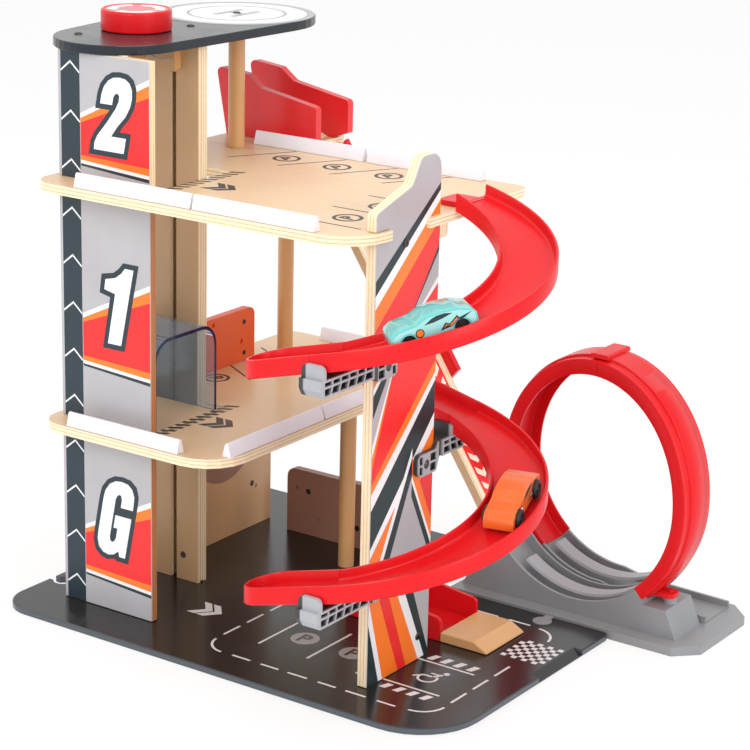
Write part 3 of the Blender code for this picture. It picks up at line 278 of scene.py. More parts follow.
def bar(u0, v0, u1, v1, width):
    """A straight stroke of some width between two points."""
    along = Vector((u1 - u0, v1 - v0)).normalized() * (width / 2)
    side = Vector((-along.y, along.x))
    first, last = Vector((u0, v0)), Vector((u1, v1))
    return [tuple(corner) for corner in (first - side, last - side, last + side, first + side)]


def box_outline(u0, v0, u1, v1):
    return [(u0, v0), (u1, v0), (u1, v1), (u0, v1)]


def ring_part(u, v, inner, outer, first, last, steps=24):
    """Part of a flat ring."""
    return arc(u, v, outer, first, last, steps) + arc(u, v, inner, last, first, steps)


def clipped(outline, u0, v0, u1, v1):
    """The outline's part inside a rectangle."""
    sides = ((0, 1, u0), (0, -1, -u1), (1, 1, v0), (1, -1, -v1))
    points = list(outline)
    for axis, sign, limit in sides:
        kept = []
        for index, here in enumerate(points):
            before = points[index - 1]
            inside = sign * here[axis] >= limit
            if inside != (sign * before[axis] >= limit):
                share = (limit - sign * before[axis]) / (sign * here[axis] - sign * before[axis])
                kept.append(tuple(a + (b - a) * share for a, b in zip(before, here)))
            if inside:
                kept.append(here)
        points = kept
    return points


# Planes that prints lie on


def top_plane(height):
    """Outlines in (x, y) on a face that looks up."""
    return Matrix.Translation(ORIGIN * MM + Vector((0, 0, height * MM)))


def front_plane(depth):
    """Outlines in (x, z) on a face that looks forward."""
    turn = Matrix(((1, 0, 0, 0), (0, 0, -1, depth * MM), (0, 1, 0, 0), (0, 0, 0, 1)))
    return Matrix.Translation(ORIGIN * MM) @ turn


def right_plane(across):
    """Outlines in (y, z) on a face that looks right."""
    turn = Matrix(((0, 0, 1, across * MM), (1, 0, 0, 0), (0, 1, 0, 0), (0, 0, 0, 1)))
    return Matrix.Translation(ORIGIN * MM) @ turn


def ramp_plane():
    """Outlines in (along, across) on the drop ramp's upper face."""
    slope = math.radians(RAMP_ANGLE)
    down = Vector((math.cos(slope), 0, -math.sin(slope)))
    back = Vector((0, 1, 0))
    out = down.cross(back)
    start = at(RAMP_TOP_X, RAMP_FRONT, FLOOR_TWO_TOP)
    rows = [(down[i], back[i], out[i], start[i]) for i in range(3)]
    return Matrix(rows + [(0, 0, 0, 1)])


def new_curve(outlines):
    """A flat filled curve from outlines in millimetres; an outline inside another is a hole."""
    bpy.ops.object.select_all(action="DESELECT")
    bpy.ops.curve.primitive_bezier_circle_add(radius=1)
    piece = bpy.context.object
    shape = piece.data
    shape.splines.clear()
    shape.dimensions = "2D"
    shape.fill_mode = "BOTH"
    for outline in outlines:
        line = shape.splines.new("POLY")
        line.points.add(len(outline) - 1)
        for point, (u, v) in zip(line.points, outline):
            point.co = (u * MM, v * MM, 0, 1)
        line.use_cyclic_u = True
    return piece


def thick_plate(outlines, plane, low, high):
    """A closed plate: flat outlines given a thickness from low to high above their plane."""
    piece = new_curve(outlines)
    piece.data.extrude = (high - low) * MM / 2
    only(piece)
    bpy.ops.object.convert(target="MESH")
    piece = bpy.context.object
    piece.matrix_world = plane @ Matrix.Translation((0, 0, (low + high) * MM / 2))
    settle(piece)
    clean(piece)
    return piece


def ink_print(name, outlines, plane, layer, ink, body="garage"):
    """One colour of a print, as a thin layer on its face."""
    low = INK_GAP + (layer - 1) * INK_STEP
    piece = thick_plate(outlines, plane, low, low + INK_THICK)
    return hand_over(piece, name, body, ink)


def sign_outlines(letter, u, v, height, turn, weight):
    """The outlines of one plain sign letter, in millimetres, centred at (u, v)."""
    bpy.ops.object.select_all(action="DESELECT")
    bpy.ops.object.text_add()
    text = bpy.context.object
    text.data.body = letter
    text.data.offset = weight
    text.data.resolution_u = 6
    bpy.ops.object.convert(target="MESH")
    mesh = bpy.context.object.data
    uses = {}
    for face in mesh.polygons:
        for key in face.edge_keys:
            uses[key] = uses.get(key, 0) + 1
    neighbours = {}
    for first, second in (key for key, count in uses.items() if count == 1):
        neighbours.setdefault(first, []).append(second)
        neighbours.setdefault(second, []).append(first)
    loops = []
    left = set(neighbours)
    while left:
        start = min(left)
        loop = [start]
        before, here = start, neighbours[start][0]
        while here != start:
            loop.append(here)
            ahead = [n for n in neighbours[here] if n != before]
            before, here = here, ahead[0]
        left -= set(loop)
        loops.append([mesh.vertices[i].co.copy() for i in loop])
    bpy.ops.object.delete()
    us = [p.x for loop in loops for p in loop]
    vs = [p.y for loop in loops for p in loop]
    middle = Vector(((min(us) + max(us)) / 2, (min(vs) + max(vs)) / 2))
    scale = height / (max(vs) - min(vs))
    spin = Matrix.Rotation(math.radians(turn), 2)
    centre = Vector((u, v))
    return [[tuple(centre + spin @ ((p.xy - middle) * scale)) for p in loop] for loop in loops]


# Solids made from a section


def ring_of(section):
    """A closed edge loop at the section's points, in the XY plane, in metres."""
    bpy.ops.object.select_all(action="DESELECT")
    bpy.ops.mesh.primitive_circle_add(vertices=len(section), radius=1, fill_type="NOTHING")
    piece = bpy.context.object
    for vertex, (u, v) in zip(piece.data.vertices, section):
        vertex.co = (u * MM, v * MM, 0)
    return piece


def screwed(piece, steps, angle, rise):
    """Carries an outline round or along Z."""
    step = piece.modifiers.new("turn", "SCREW")
    step.axis = "Z"
    step.angle = angle
    step.screw_offset = rise
    step.steps = steps
    step.render_steps = steps
    step.use_merge_vertices = True
    step.merge_threshold = 0.0000005
    apply_all(piece)


def close_ends(piece):
    """Fills the open ends."""
    only(piece)
    bpy.ops.object.mode_set(mode="EDIT")
    bpy.ops.mesh.select_mode(type="EDGE")
    bpy.ops.mesh.select_all(action="DESELECT")
    bpy.ops.mesh.select_non_manifold()
    bpy.ops.mesh.fill_holes(sides=0)
    bpy.ops.object.mode_set(mode="OBJECT")


def swept(section, steps, place):
    """A section carried along a path: place(share, across, up) gives each point, in garage millimetres."""
    piece = ring_of(section)
    screwed(piece, steps, 0.0, 1.0)
    close_ends(piece)
    for vertex in piece.data.vertices:
        share, across, up = vertex.co.z, vertex.co.x / MM, vertex.co.y / MM
        vertex.co = at(*place(share, across, up))
    clean(piece)
    return piece


def turned(profile, centre, sides=64):
    """A solid turned from (radius, height) points round a vertical axis."""
    piece = ring_of(profile)
    for vertex in piece.data.vertices:
        vertex.co = (vertex.co.x, 0, vertex.co.y)
    only(piece)
    bpy.ops.object.mode_set(mode="EDIT")
    bpy.ops.mesh.select_mode(type="EDGE")
    bpy.ops.mesh.select_all(action="DESELECT")
    bpy.ops.object.mode_set(mode="OBJECT")
    last = {0, len(profile) - 1}
    for edge in piece.data.edges:
        edge.select = set(edge.vertices) == last
    bpy.ops.object.mode_set(mode="EDIT")
    bpy.ops.mesh.delete(type="EDGE")
    bpy.ops.object.mode_set(mode="OBJECT")
    screwed(piece, sides, math.tau, 0.0)
    piece.location = at(*centre)
    settle(piece)
    clean(piece)
    return piece


def rounded_rim(inner, outer, top):
    """A wall's rounded upper edge, from its inner side to its outer one."""
    rim = sizes().rim / MM
    return [(inner, top - rim), (inner + rim * 0.4, top), (outer - rim * 0.6, top), (outer, top - rim)]


def mirrored(side):
    """A whole section from its right half."""
    return side + [(-u, v) for u, v in reversed(side)]


def track_section():
    """A track's U section with rounded rims and fillets, walls up."""
    half = TRACK_WIDTH / 2
    inner = half - TRACK_WALL
    fillet = 2.6
    low = TRACK_HEIGHT
    side = [(inner - fillet, -TRACK_DEPTH)]
    side += arc(inner - fillet, -TRACK_DEPTH + fillet, fillet, -90, 0, 4)[1:]
    side += rounded_rim(inner, half, 0)
    side += [(half, -low + 0.8), (half - 0.8, -low), (inner + 0.4, -low), (inner, -low + 0.4)]
    side += [(inner, -TRACK_DEPTH - TRACK_FLOOR)]
    return mirrored(side)


def spiral_place(top):
    """The half turn of a spiral, from the back to the front."""

    def place(share, across, up):
        angle = math.radians(90 - 180 * share)
        reach = TRACK_MIDDLE + across
        x, y = TRACK_X + reach * math.cos(angle), TRACK_Y + reach * math.sin(angle)
        return (x, y, top - TRACK_DROP * share + up)

    return place


def end_place(y, top, length, slope):
    """A straight lane to the left whose half-round end closes it; share runs round the stadium's wall."""
    half = TRACK_WIDTH / 2
    right = TRACK_X - TRACK_JOINT
    centre = right - length + half

    def place(share, inward, up):
        run = length - half
        turn = math.pi * half
        along = share * (2 * run + turn)
        reach = half - inward
        if along < run:
            x, across = right - along, -reach
        elif along < run + turn:
            angle = (along - run) / half
            x, across = centre - reach * math.sin(angle), -reach * math.cos(angle)
        else:
            x, across = centre + (along - run - turn), reach
        return (x, y + across, top + up + slope * (x - right))

    return place


def end_piece(name, y, top, length, slope):
    """A walled end of a spiral: a wall that runs round a stadium, and the floor inside it."""
    half = TRACK_WIDTH / 2
    low, under = -TRACK_HEIGHT, -TRACK_DEPTH - TRACK_FLOOR
    wall = [(0, -0.9), (0.6, 0), (2.0, 0), (TRACK_WALL, -0.9), (TRACK_WALL, under), (TRACK_WALL, low + 0.3)]
    wall += [(2.2, low), (0.8, low), (0, low + 0.8)]
    rim = swept(wall, 96, end_place(y, top, length, slope))
    right = TRACK_X - TRACK_JOINT
    inner = half - TRACK_WALL + 0.3
    outline = [(right, y - inner), (right, y + inner)] + arc(right - length + half, y, inner, 90, 270, 24)
    floor = thick_plate([outline], top_plane(0), under, -TRACK_DEPTH)
    gap = box_outline(right - 2.2, y - inner, right, y + inner)
    stop = thick_plate([gap], top_plane(0), low + 0.4, under + 0.4)
    for piece in (floor, stop):
        for vertex in piece.data.vertices:
            vertex.co.z += top * MM + slope * (vertex.co.x - at(right, 0, 0).x)
    piece = joined([rim, floor, stop])
    hand_over(piece, f"{name}_moulding", "garage", "red_moulded", 40)
    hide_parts(name)


# Shader groups


def new_group(name, inputs, outputs):
    """A node group with named sockets; returns it with its input sockets and its output node."""
    group = bpy.data.node_groups.new(name, "ShaderNodeTree")
    kinds = {tuple: "NodeSocketColor", float: "NodeSocketFloat", type(None): "NodeSocketVector"}
    for title, value in inputs.items():
        socket = group.interface.new_socket(name=title, in_out="INPUT", socket_type=kinds[type(value)])
        if value is not None:
            socket.default_value = value
    for title in outputs:
        kind = "NodeSocketColor" if title == "Color" else "NodeSocketFloat"
        group.interface.new_socket(name=title, in_out="OUTPUT", socket_type=kind)
    return group, group.nodes.new("NodeGroupInput").outputs, group.nodes.new("NodeGroupOutput")


def fill(tree, socket, value):
    """Links a socket to another one, or sets its value."""
    if isinstance(value, bpy.types.NodeSocket):
        tree.links.new(value, socket)
    else:
        socket.default_value = value


def linked(tree, kind, settings=None, **inputs):
    """Adds a node with its properties; its inputs are given by name, or by number as i0, i1 and so on."""
    node = tree.nodes.new(kind)
    for key, value in (settings or {}).items():
        setattr(node, key, value)
    for key, value in inputs.items():
        index = int(key[1:]) if key[0] == "i" and key[1:].isdigit() else key.replace("_", " ")
        fill(tree, node.inputs[index], value)
    return node


def mix_colour(tree, factor, first, second, blend="MIX"):
    """Two colours mixed."""
    settings = {"data_type": "RGBA", "blend_type": blend}
    return linked(tree, "ShaderNodeMix", settings, i0=factor, i6=first, i7=second).outputs[2]


def maths(tree, operation, first, second=0.0, clamp=False):
    """One step of arithmetic."""
    settings = {"operation": operation, "use_clamp": clamp}
    return linked(tree, "ShaderNodeMath", settings, i0=first, i1=second).outputs[0]


def ranged(tree, value, low, high, to_low=0.0, to_high=1.0):
    """A value's share between two limits, put in another range."""
    node = linked(tree, "ShaderNodeMapRange", Value=value, i1=low, i2=high, i3=to_low, i4=to_high)
    return node.outputs[0]


def noise(tree, vector, scale, detail, distortion=0.0):
    """Soft noise over the surface."""
    inputs = {"Vector": vector, "Scale": scale, "Detail": detail, "Distortion": distortion}
    return linked(tree, "ShaderNodeTexNoise", **inputs).outputs[0]


def shaded(tree, colour, shade):
    """A colour made lighter or darker by a grey value."""
    grey = linked(tree, "ShaderNodeCombineColor", i0=shade, i1=shade, i2=shade).outputs[0]
    return mix_colour(tree, 1.0, colour, grey, "MULTIPLY")


def axis_part(tree, vector, axis):
    """One part of a vector."""
    return linked(tree, "ShaderNodeSeparateXYZ", i0=vector).outputs["XYZ".index(axis)]


def wood_grain_group():
    """Streaks, pores and a slow change of tone; the vector's x runs along the grain."""
    inputs = {"Vector": None, "Light": (0.8, 0.6, 0.4, 1), "Dark": (0.6, 0.4, 0.2, 1), "Contrast": 0.5}
    group, start, end = new_group("wood_grain", inputs, ("Color", "Roughness", "Height"))
    long = linked(group, "ShaderNodeMapping", Vector=start["Vector"], Scale=(6, 90, 90)).outputs[0]
    fine = linked(group, "ShaderNodeMapping", Vector=start["Vector"], Scale=(60, 1400, 1400)).outputs[0]
    streak = noise(group, long, 1.0, 5.0, 0.6)
    pore = noise(group, fine, 1.0, 2.0)
    slow = noise(group, start["Vector"], 9.0, 2.0)
    marked = maths(group, "MULTIPLY", ranged(group, streak, -0.14, 0.18), start["Contrast"])
    pores = maths(group, "MULTIPLY", ranged(group, pore, 0.58, 0.8), 0.5)
    tone = mix_colour(group, maths(group, "MAXIMUM", marked, pores, True), start["Light"], start["Dark"])
    cloud = ranged(group, slow, 0.3, 0.7, 0.93, 1.05)
    group.links.new(shaded(group, tone, cloud), end.inputs["Color"])
    group.links.new(ranged(group, streak, 0.2, 0.8, 0.34, 0.5), end.inputs["Roughness"])
    group.links.new(pore, end.inputs["Height"])
    return group


def ply_edge_group():
    """Veneer layers on the cut edges of a board. Across is the place through its thickness, in metres."""
    inputs = {
        "Face": (0.8, 0.6, 0.4, 1), "Vector": None, "Across": 0.0, "Facing": 0.0, "Pitch": 0.0016,
        "Light": (0.9, 0.75, 0.52, 1), "Dark": (0.5, 0.3, 0.14, 1),
    }
    group, start, end = new_group("ply_edge", inputs, ("Color", "Edge"))
    wobble = maths(group, "MULTIPLY", noise(group, start["Vector"], 45.0, 2.0), 0.0006)
    place = maths(group, "DIVIDE", maths(group, "ADD", start["Across"], wobble), start["Pitch"])
    dark = ranged(group, maths(group, "PINGPONG", place, 1.0), 0.55, 0.95)
    streak = maths(group, "ADD", noise(group, start["Vector"], 260.0, 3.0), 0.25)
    layers = mix_colour(group, maths(group, "MULTIPLY", dark, streak, True), start["Light"], start["Dark"])
    edge = ranged(group, start["Facing"], 0.75, 0.6)
    group.links.new(mix_colour(group, edge, start["Face"], layers), end.inputs["Color"])
    group.links.new(edge, end.inputs["Edge"])
    return group


def handling_group():
    """Faint smudges and rubbed spots from play, as a colour and a roughness."""
    inputs = {"Color": (0.5, 0.5, 0.5, 1), "Vector": None, "Gloss": 0.3, "Amount": 0.5}
    group, start, end = new_group("handling_marks", inputs, ("Color", "Roughness", "Height"))
    broad = noise(group, start["Vector"], 22.0, 4.0)
    fine = noise(group, start["Vector"], 700.0, 2.0)
    smear = maths(group, "MULTIPLY", ranged(group, broad, 0.5, 0.8, 0.0, 0.14), start["Amount"])
    shade = ranged(group, broad, 0.25, 0.75, 0.94, 1.04)
    group.links.new(shaded(group, start["Color"], shade), end.inputs["Color"])
    group.links.new(maths(group, "ADD", start["Gloss"], smear), end.inputs["Roughness"])
    group.links.new(fine, end.inputs["Height"])
    return group


GROUPS = {}


def group(name):
    """A shared shader group, built once."""
    makers = {"wood": wood_grain_group, "ply": ply_edge_group, "handling": handling_group}
    if name not in GROUPS:
        GROUPS[name] = makers[name]()
    return GROUPS[name]


def group_node(tree, name, **inputs):
    """Places a shared group in a material."""
    node = linked(tree, "ShaderNodeGroup", {"node_tree": group(name)})
    for key, value in inputs.items():
        fill(tree, node.inputs[key], value)
    return node


def new_material(name):
    """A material with its tree and its shader."""
    made = bpy.data.materials.new(name)
    made.use_nodes = True
    tree = made.node_tree
    return made, tree, tree.nodes["Principled BSDF"]


def place_nodes(tree):
    """The point and the facing on the object."""
    point = tree.nodes.new("ShaderNodeTexCoord").outputs["Object"]
    facing = tree.nodes.new("ShaderNodeNewGeometry").outputs["Normal"]
    return point, facing


def finish_with(tree, shader, colour, marks, bump):
    """Feeds the shader with a colour, and with the roughness and the fine relief of a group."""
    tree.links.new(colour, shader.inputs["Base Color"])
    tree.links.new(marks.outputs["Roughness"], shader.inputs["Roughness"])
    if bump:
        height = marks.outputs["Height"]
        relief = linked(tree, "ShaderNodeBump", Strength=bump, Distance=RELIEF_DEPTH, Height=height)
        tree.links.new(relief.outputs[0], shader.inputs["Normal"])


def rgba(colour, factor=1.0):
    """A colour with its alpha, made lighter or darker."""
    return (colour[0] * factor, colour[1] * factor, colour[2] * factor, 1.0)


def edged(tree, face, point, facing, thin, light, dark):
    """A face colour whose cut edges show the board's layers."""
    level = maths(tree, "ABSOLUTE", axis_part(tree, facing, thin))
    across = axis_part(tree, point, thin)
    inputs = {"Face": face, "Vector": point, "Across": across, "Facing": level, "Light": light, "Dark": dark}
    return group_node(tree, "ply", **inputs).outputs["Color"]


def wood(name, colour, grain, thin=None, dark=0.72, contrast=0.5, coat=0.25):
    """Varnished wood. grain is the axis along the grain, thin the axis through a plywood board."""
    made, tree, shader = new_material(name)
    point, facing = place_nodes(tree)
    turn = {"X": (0, 0, 0), "Y": (0, 0, math.pi / 2), "Z": (0, math.pi / 2, 0)}[grain]
    along = linked(tree, "ShaderNodeMapping", Vector=point, Rotation=turn).outputs[0]
    deep = (colour[0] * dark, colour[1] * dark * 0.86, colour[2] * dark * 0.72, 1)
    grained = group_node(tree, "wood", Vector=along, Light=rgba(colour), Dark=deep, Contrast=contrast)
    shown = grained.outputs["Color"]
    if thin:
        shown = edged(tree, shown, point, facing, thin, (0.90, 0.74, 0.50, 1), (0.55, 0.33, 0.16, 1))
    finish_with(tree, shader, shown, grained, 0.12)
    shader.inputs["Coat Weight"].default_value = coat
    shader.inputs["Coat Roughness"].default_value = 0.18
    return made


def paint(name, colour, gloss=0.3, coat=0.0, amount=0.6, bump=0.03, specular=0.5):
    """Paint, ink or moulded plastic in one colour, with handling marks and a fine skin."""
    made, tree, shader = new_material(name)
    point = place_nodes(tree)[0]
    marks = group_node(tree, "handling", Color=rgba(colour), Vector=point, Gloss=gloss, Amount=amount)
    finish_with(tree, shader, marks.outputs["Color"], marks, bump)
    shader.inputs["Coat Weight"].default_value = coat
    shader.inputs["Coat Roughness"].default_value = 0.06
    shader.inputs["Specular IOR Level"].default_value = specular
    return made


def printed(name, face, edge, thin, gloss, layered=True):
    """A printed board: an inked face, and edges that are plywood or painted."""
    made, tree, shader = new_material(name)
    point, facing = place_nodes(tree)
    marks = group_node(tree, "handling", Color=rgba(face), Vector=point, Gloss=gloss, Amount=0.7)
    dark = (0.60, 0.38, 0.19, 1) if layered else rgba(edge, 0.8)
    shown = edged(tree, marks.outputs["Color"], point, facing, thin, rgba(edge), dark)
    finish_with(tree, shader, shown, marks, 0.04)
    return made


def acrylic(name, colour):
    """Clear tinted sheet whose edge faces are painted a darker blue, as painted shade for light passing along
    the sheet.
    """
    made, tree, shader = new_material(name)
    point, facing = place_nodes(tree)
    # Painted shade: faces that look along x get a darker blue
    edge = ranged(tree, maths(tree, "ABSOLUTE", axis_part(tree, facing, "X")), 0.6, 0.8)
    tint_and_edge_shade = mix_colour(tree, edge, rgba(colour), (0.02, 0.05, 0.22, 1))
    marks = group_node(tree, "handling", Color=tint_and_edge_shade, Vector=point, Gloss=0.03, Amount=0.25)
    finish_with(tree, shader, marks.outputs["Color"], marks, 0)
    shader.inputs["Transmission Weight"].default_value = 0.9
    shader.inputs["IOR"].default_value = 1.3
    return made


def ribbed_with_painted_shade(name, colour):
    """Moulded grey with painted shade in its cells, darker with depth to the left of each rib's outer edge.
    """
    made = paint(name, colour, 0.4, 0.0, 0.8, 0.1)
    tree = made.node_tree
    shader = tree.nodes["Principled BSDF"]
    point, facing = place_nodes(tree)
    across, along = axis_part(tree, point, "X"), axis_part(tree, point, "Y")
    behind = maths(tree, "GREATER_THAN", along, 0.001)
    front_arm_shade, back_arm_shade = ranged(tree, across, *FRONT_ARM_SHADE), ranged(tree, across, *BACK_ARM_SHADE)
    depth = linked(tree, "ShaderNodeMix", i0=behind, i2=front_arm_shade, i3=back_arm_shade).outputs[0]
    off = maths(tree, "ABSOLUTE", maths(tree, "ADD", along, ARM_MIDDLE))
    arm = maths(tree, "MAXIMUM", maths(tree, "LESS_THAN", off, ARM_HALF), behind)
    plate = ranged(tree, across, *BRACKET_PLATE_SHADE)
    deep = linked(tree, "ShaderNodeMix", i0=arm, i2=plate, i3=depth).outputs[0]
    # The painted shade reaches 0.92 at most, and only on faces that do not look towards -x
    shown = maths(tree, "GREATER_THAN", axis_part(tree, facing, "X"), -0.5)
    deep = maths(tree, "MULTIPLY", deep, maths(tree, "MULTIPLY", shown, 0.92))
    light = shader.inputs["Base Color"].links[0].from_socket
    # Mixes the grey towards near-black by the painted shade of the cells
    tree.links.new(mix_colour(tree, deep, light, (0.012, 0.011, 0.012, 1)), shader.inputs["Base Color"])
    return made


def metal(name, colour, gloss):
    """Dark plated steel."""
    made = paint(name, colour, gloss, amount=0.4)
    made.node_tree.nodes["Principled BSDF"].inputs["Metallic"].default_value = 1.0
    return made


SURFACES = {}


def surface(name):
    """A material of the garage, built once."""
    c = colours()
    makers = {
        "floor_birch": lambda n: wood(n, c.birch, "X", "Z", contrast=0.4),
        "wall_birch_x": lambda n: wood(n, (0.84, 0.53, 0.29), "Z", "X", contrast=0.45),
        "wall_birch_y": lambda n: wood(n, (0.80, 0.52, 0.28), "Z", "Y", dark=0.62, contrast=0.6),
        "ramp_birch": lambda n: wood(n, c.birch, "Z", "Y", contrast=0.4),
        "post_beech": lambda n: wood(n, c.beech, "Z", contrast=0.7),
        "block_beech": lambda n: wood(n, c.beech, "X", contrast=0.7),
        "board_gloss": lambda n: printed(n, c.board, c.board_edge, "Z", 0.2, False),
        "roof_gloss": lambda n: printed(n, (0.022, 0.024, 0.028), (0.007, 0.011, 0.018), "Z", 0.22, False),
        "panel_front": lambda n: printed(n, c.panel, (0.87, 0.68, 0.42), "Y", 0.34),
        # Lower tower panels: their cut edges are a plain orange-brown, as painted shade of the wood in the
        # dark shaft
        "panel_edge_painted_shade": lambda n: printed(n, c.panel, (0.50, 0.20, 0.07), "Y", 0.34, False),
        "panel_side": lambda n: printed(n, c.panel, (0.87, 0.71, 0.48), "X", 0.34),
        "red_moulded": lambda n: paint(n, c.red, 0.28, 0.0, 0.5, 0.02, 0.24),
        "red_painted": lambda n: paint(n, (0.74, 0.02, 0.025), 0.3, 0.1),
        "grey_moulded": lambda n: paint(n, c.grey, 0.38, 0.0, 0.8, 0.12),
        "grey_light": lambda n: paint(n, (0.33, 0.34, 0.36), 0.36, 0.0, 0.8, 0.1),
        "bracket_painted_shade": lambda n: ribbed_with_painted_shade(n, c.bracket),
        "kerb_white": lambda n: paint(n, c.kerb, 0.42, 0.0, 0.6, 0.1),
        "taupe_paint": lambda n: wood(n, (0.46, 0.25, 0.19), "X", contrast=0.5, coat=0.1),
        "orange_paint_board": lambda n: wood(n, (0.85, 0.13, 0.03), "Y", contrast=0.3, coat=0.1),
        "hood_acrylic": lambda n: acrylic(n, c.acrylic),
        "teal_gloss": lambda n: paint(n, c.teal, 0.16, 0.8, 0.3, 0.01),
        "orange_gloss": lambda n: wood(n, c.orange, "X", dark=0.8, contrast=0.5, coat=0.4),
        "teal_flank": lambda n: paint(n, (0.30, 0.62, 0.60), 0.25, 0.3, 0.3, 0.01),
        "tyre": lambda n: paint(n, (0.012, 0.012, 0.013), 0.55, 0.0, 0.8, 0.2),
        "screw_black": lambda n: metal(n, (0.12, 0.11, 0.105), 0.32),
        "cotton": lambda n: paint(n, (0.55, 0.47, 0.34), 0.9, 0.0, 1.0, 0.6),
        "ink_slate": lambda n: paint(n, c.slate, 0.36),
        "ink_white": lambda n: paint(n, c.ink_white, 0.36, 0.0, 0.5, 0.02),
        "ink_orange": lambda n: paint(n, c.ink_orange, 0.34),
        "ink_red": lambda n: paint(n, c.ink_red, 0.34),
        "ink_dark": lambda n: paint(n, c.ink_dark, 0.34),
        "ink_panel": lambda n: paint(n, c.panel, 0.34),
        "ink_brown": lambda n: paint(n, (0.05, 0.038, 0.033), 0.45),
        "ink_road": lambda n: paint(n, (0.72, 0.71, 0.71), 0.3),
        "ink_road_disc": lambda n: paint(n, (0.33, 0.31, 0.31), 0.3),
        "pad_white": lambda n: paint(n, (0.74, 0.74, 0.76), 0.2, 0.4, 0.6, 0.02),
        "pad_grey": lambda n: paint(n, (0.20, 0.215, 0.23), 0.2, 0.4, 0.6, 0.02),
        "label_white": lambda n: paint(n, (0.82, 0.76, 0.77), 0.22),
        "label_red": lambda n: paint(n, (0.56, 0.10, 0.10), 0.25),
        # Near-black, for painted shade inside screw holes
        "hole_painted_shade": lambda n: paint(n, (0.01, 0.009, 0.008), 0.6),
        "ramp_cream": lambda n: paint(n, (0.86, 0.80, 0.66), 0.4),
    }
    if name not in SURFACES:
        SURFACES[name] = makers[name](name)
    return SURFACES[name]


NODE_SURFACES = {
    "base_board": "board_gloss",
    "top_plate": "roof_gloss",
    "tower_panel_ground": "panel_edge_painted_shade",
    "tower_panel_first": "panel_edge_painted_shade",
    "tower_panel_second": "panel_front",
    "side_panel": "panel_side",
    "guide_wall_front": "wall_birch_y",
    "guide_wall_back": "wall_birch_y",
    "floor_one": "floor_birch",
    "floor_two": "floor_birch",
    "drop_ramp": "ramp_birch",
    "chute_floor": "ramp_birch",
    "lift_floor": "floor_birch",
    "ground_wall_panel": "wall_birch_x",
    "support_block": "wall_birch_y",
    "string_guide": "block_beech",
    "knob_spindle": "post_beech",
    "lift_slider": "post_beech",
    "exit_wedge": "block_beech",
    "dowel_lower": "post_beech",
    "dowel_middle": "post_beech",
    "dowel_upper": "post_beech",
    "lift_string": "cotton",
    "taupe_board": "taupe_paint",
    "orange_board": "orange_paint_board",
    "chute_wall_near": "red_painted",
    "chute_wall_far": "red_painted",
    "exit_channel": "red_moulded",
    "drop_ramp_rail": "red_moulded",
    "loop_clip": "red_moulded",
    "loop_base": "grey_moulded",
    "upper_bracket": "bracket_painted_shade",
    "lower_bracket": "bracket_painted_shade",
    "middle_bracket": "bracket_painted_shade",
    "lift_hood": "hood_acrylic",
}


# Operators, one for each piece or group of like pieces


def seen_rays(tree):
    """One for rays that show the stage directly, in a reflection or through clear sheet."""
    rays = tree.nodes.new("ShaderNodeLightPath").outputs
    seen = maths(tree, "MAXIMUM", rays["Is Camera Ray"], rays["Is Glossy Ray"])
    return maths(tree, "MAXIMUM", seen, rays["Is Transmission Ray"])


class TOYGARAGE_OT_stage(bpy.types.Operator):
    """Adds the pale floor, the soft lamps and the camera"""

    bl_idname = "toygarage.stage"
    bl_label = "Stage"

    def execute(self, context):
        scene = context.scene
        scene.view_settings.view_transform = "Standard"
        bpy.ops.object.select_all(action="DESELECT")
        bpy.ops.mesh.primitive_plane_add(size=60, location=(0, 0, -0.0002))
        floor = context.object
        floor.name = "studio_floor"
        made, tree, shader = new_material("studio_floor")
        shader.inputs["Base Color"].default_value = (0.9, 0.9, 0.9, 1)
        shader.inputs["Roughness"].default_value = 0.9
        shader.inputs["Specular IOR Level"].default_value = 0.1
        glow = linked(tree, "ShaderNodeEmission", Color=(1, 1, 1, 1), Strength=1.0).outputs[0]
        share = maths(tree, "MULTIPLY", seen_rays(tree), 0.7)
        both = linked(tree, "ShaderNodeMixShader", i0=share, i1=shader.outputs[0], i2=glow)
        tree.links.new(both.outputs[0], tree.nodes["Material Output"].inputs["Surface"])
        floor.data.materials.append(made)
        world = bpy.data.worlds.new("studio")
        scene.world = world
        world.use_nodes = True
        sky = world.node_tree
        back = sky.nodes["Background"]
        back.inputs["Color"].default_value = (1, 1, 1, 1)
        sky.links.new(ranged(sky, seen_rays(sky), 0.0, 1.0, 0.95, 1.0), back.inputs["Strength"])
        target = Vector((0.0, 0.0, 0.24))
        lamps = (
            ("key", (0.3, -2.4, 1.7), 1.4, 26.0),
            ("left", (-2.2, -1.2, 1.4), 1.4, 8.0),
            ("right", (2.4, -0.6, 1.2), 1.4, 20.0),
            ("top", (0.2, 0.2, 2.4), 1.2, 12.0),
        )
        for name, place, size, power in lamps:
            bpy.ops.object.light_add(type="AREA", location=place)
            lamp = context.object
            lamp.name = name
            lamp.data.shape = "SQUARE"
            lamp.data.size = size
            lamp.data.energy = power
            lamp.rotation_euler = (target - Vector(place)).to_track_quat("-Z", "Y").to_euler()
        bpy.ops.object.camera_add()
        camera = context.object
        camera.name = "photo_camera"
        ahead = Vector(CAMERA_AHEAD).normalized()
        right = Vector(CAMERA_RIGHT).normalized()
        up = right.cross(ahead).normalized()
        roll = math.radians(CAMERA_ROLL)
        across = right * math.cos(roll) + up * math.sin(roll)
        over = up * math.cos(roll) - right * math.sin(roll)
        turn = Matrix((across, over, -ahead)).transposed().to_4x4()
        camera.matrix_world = Matrix.Translation(at(*CAMERA_PLACE)) @ turn
        camera.data.sensor_width = 36.0
        camera.data.lens = CAMERA_LENS
        camera.data.shift_x, camera.data.shift_y = CAMERA_SHIFT
        camera.data.clip_end = 50
        scene.camera = camera
        return {"FINISHED"}


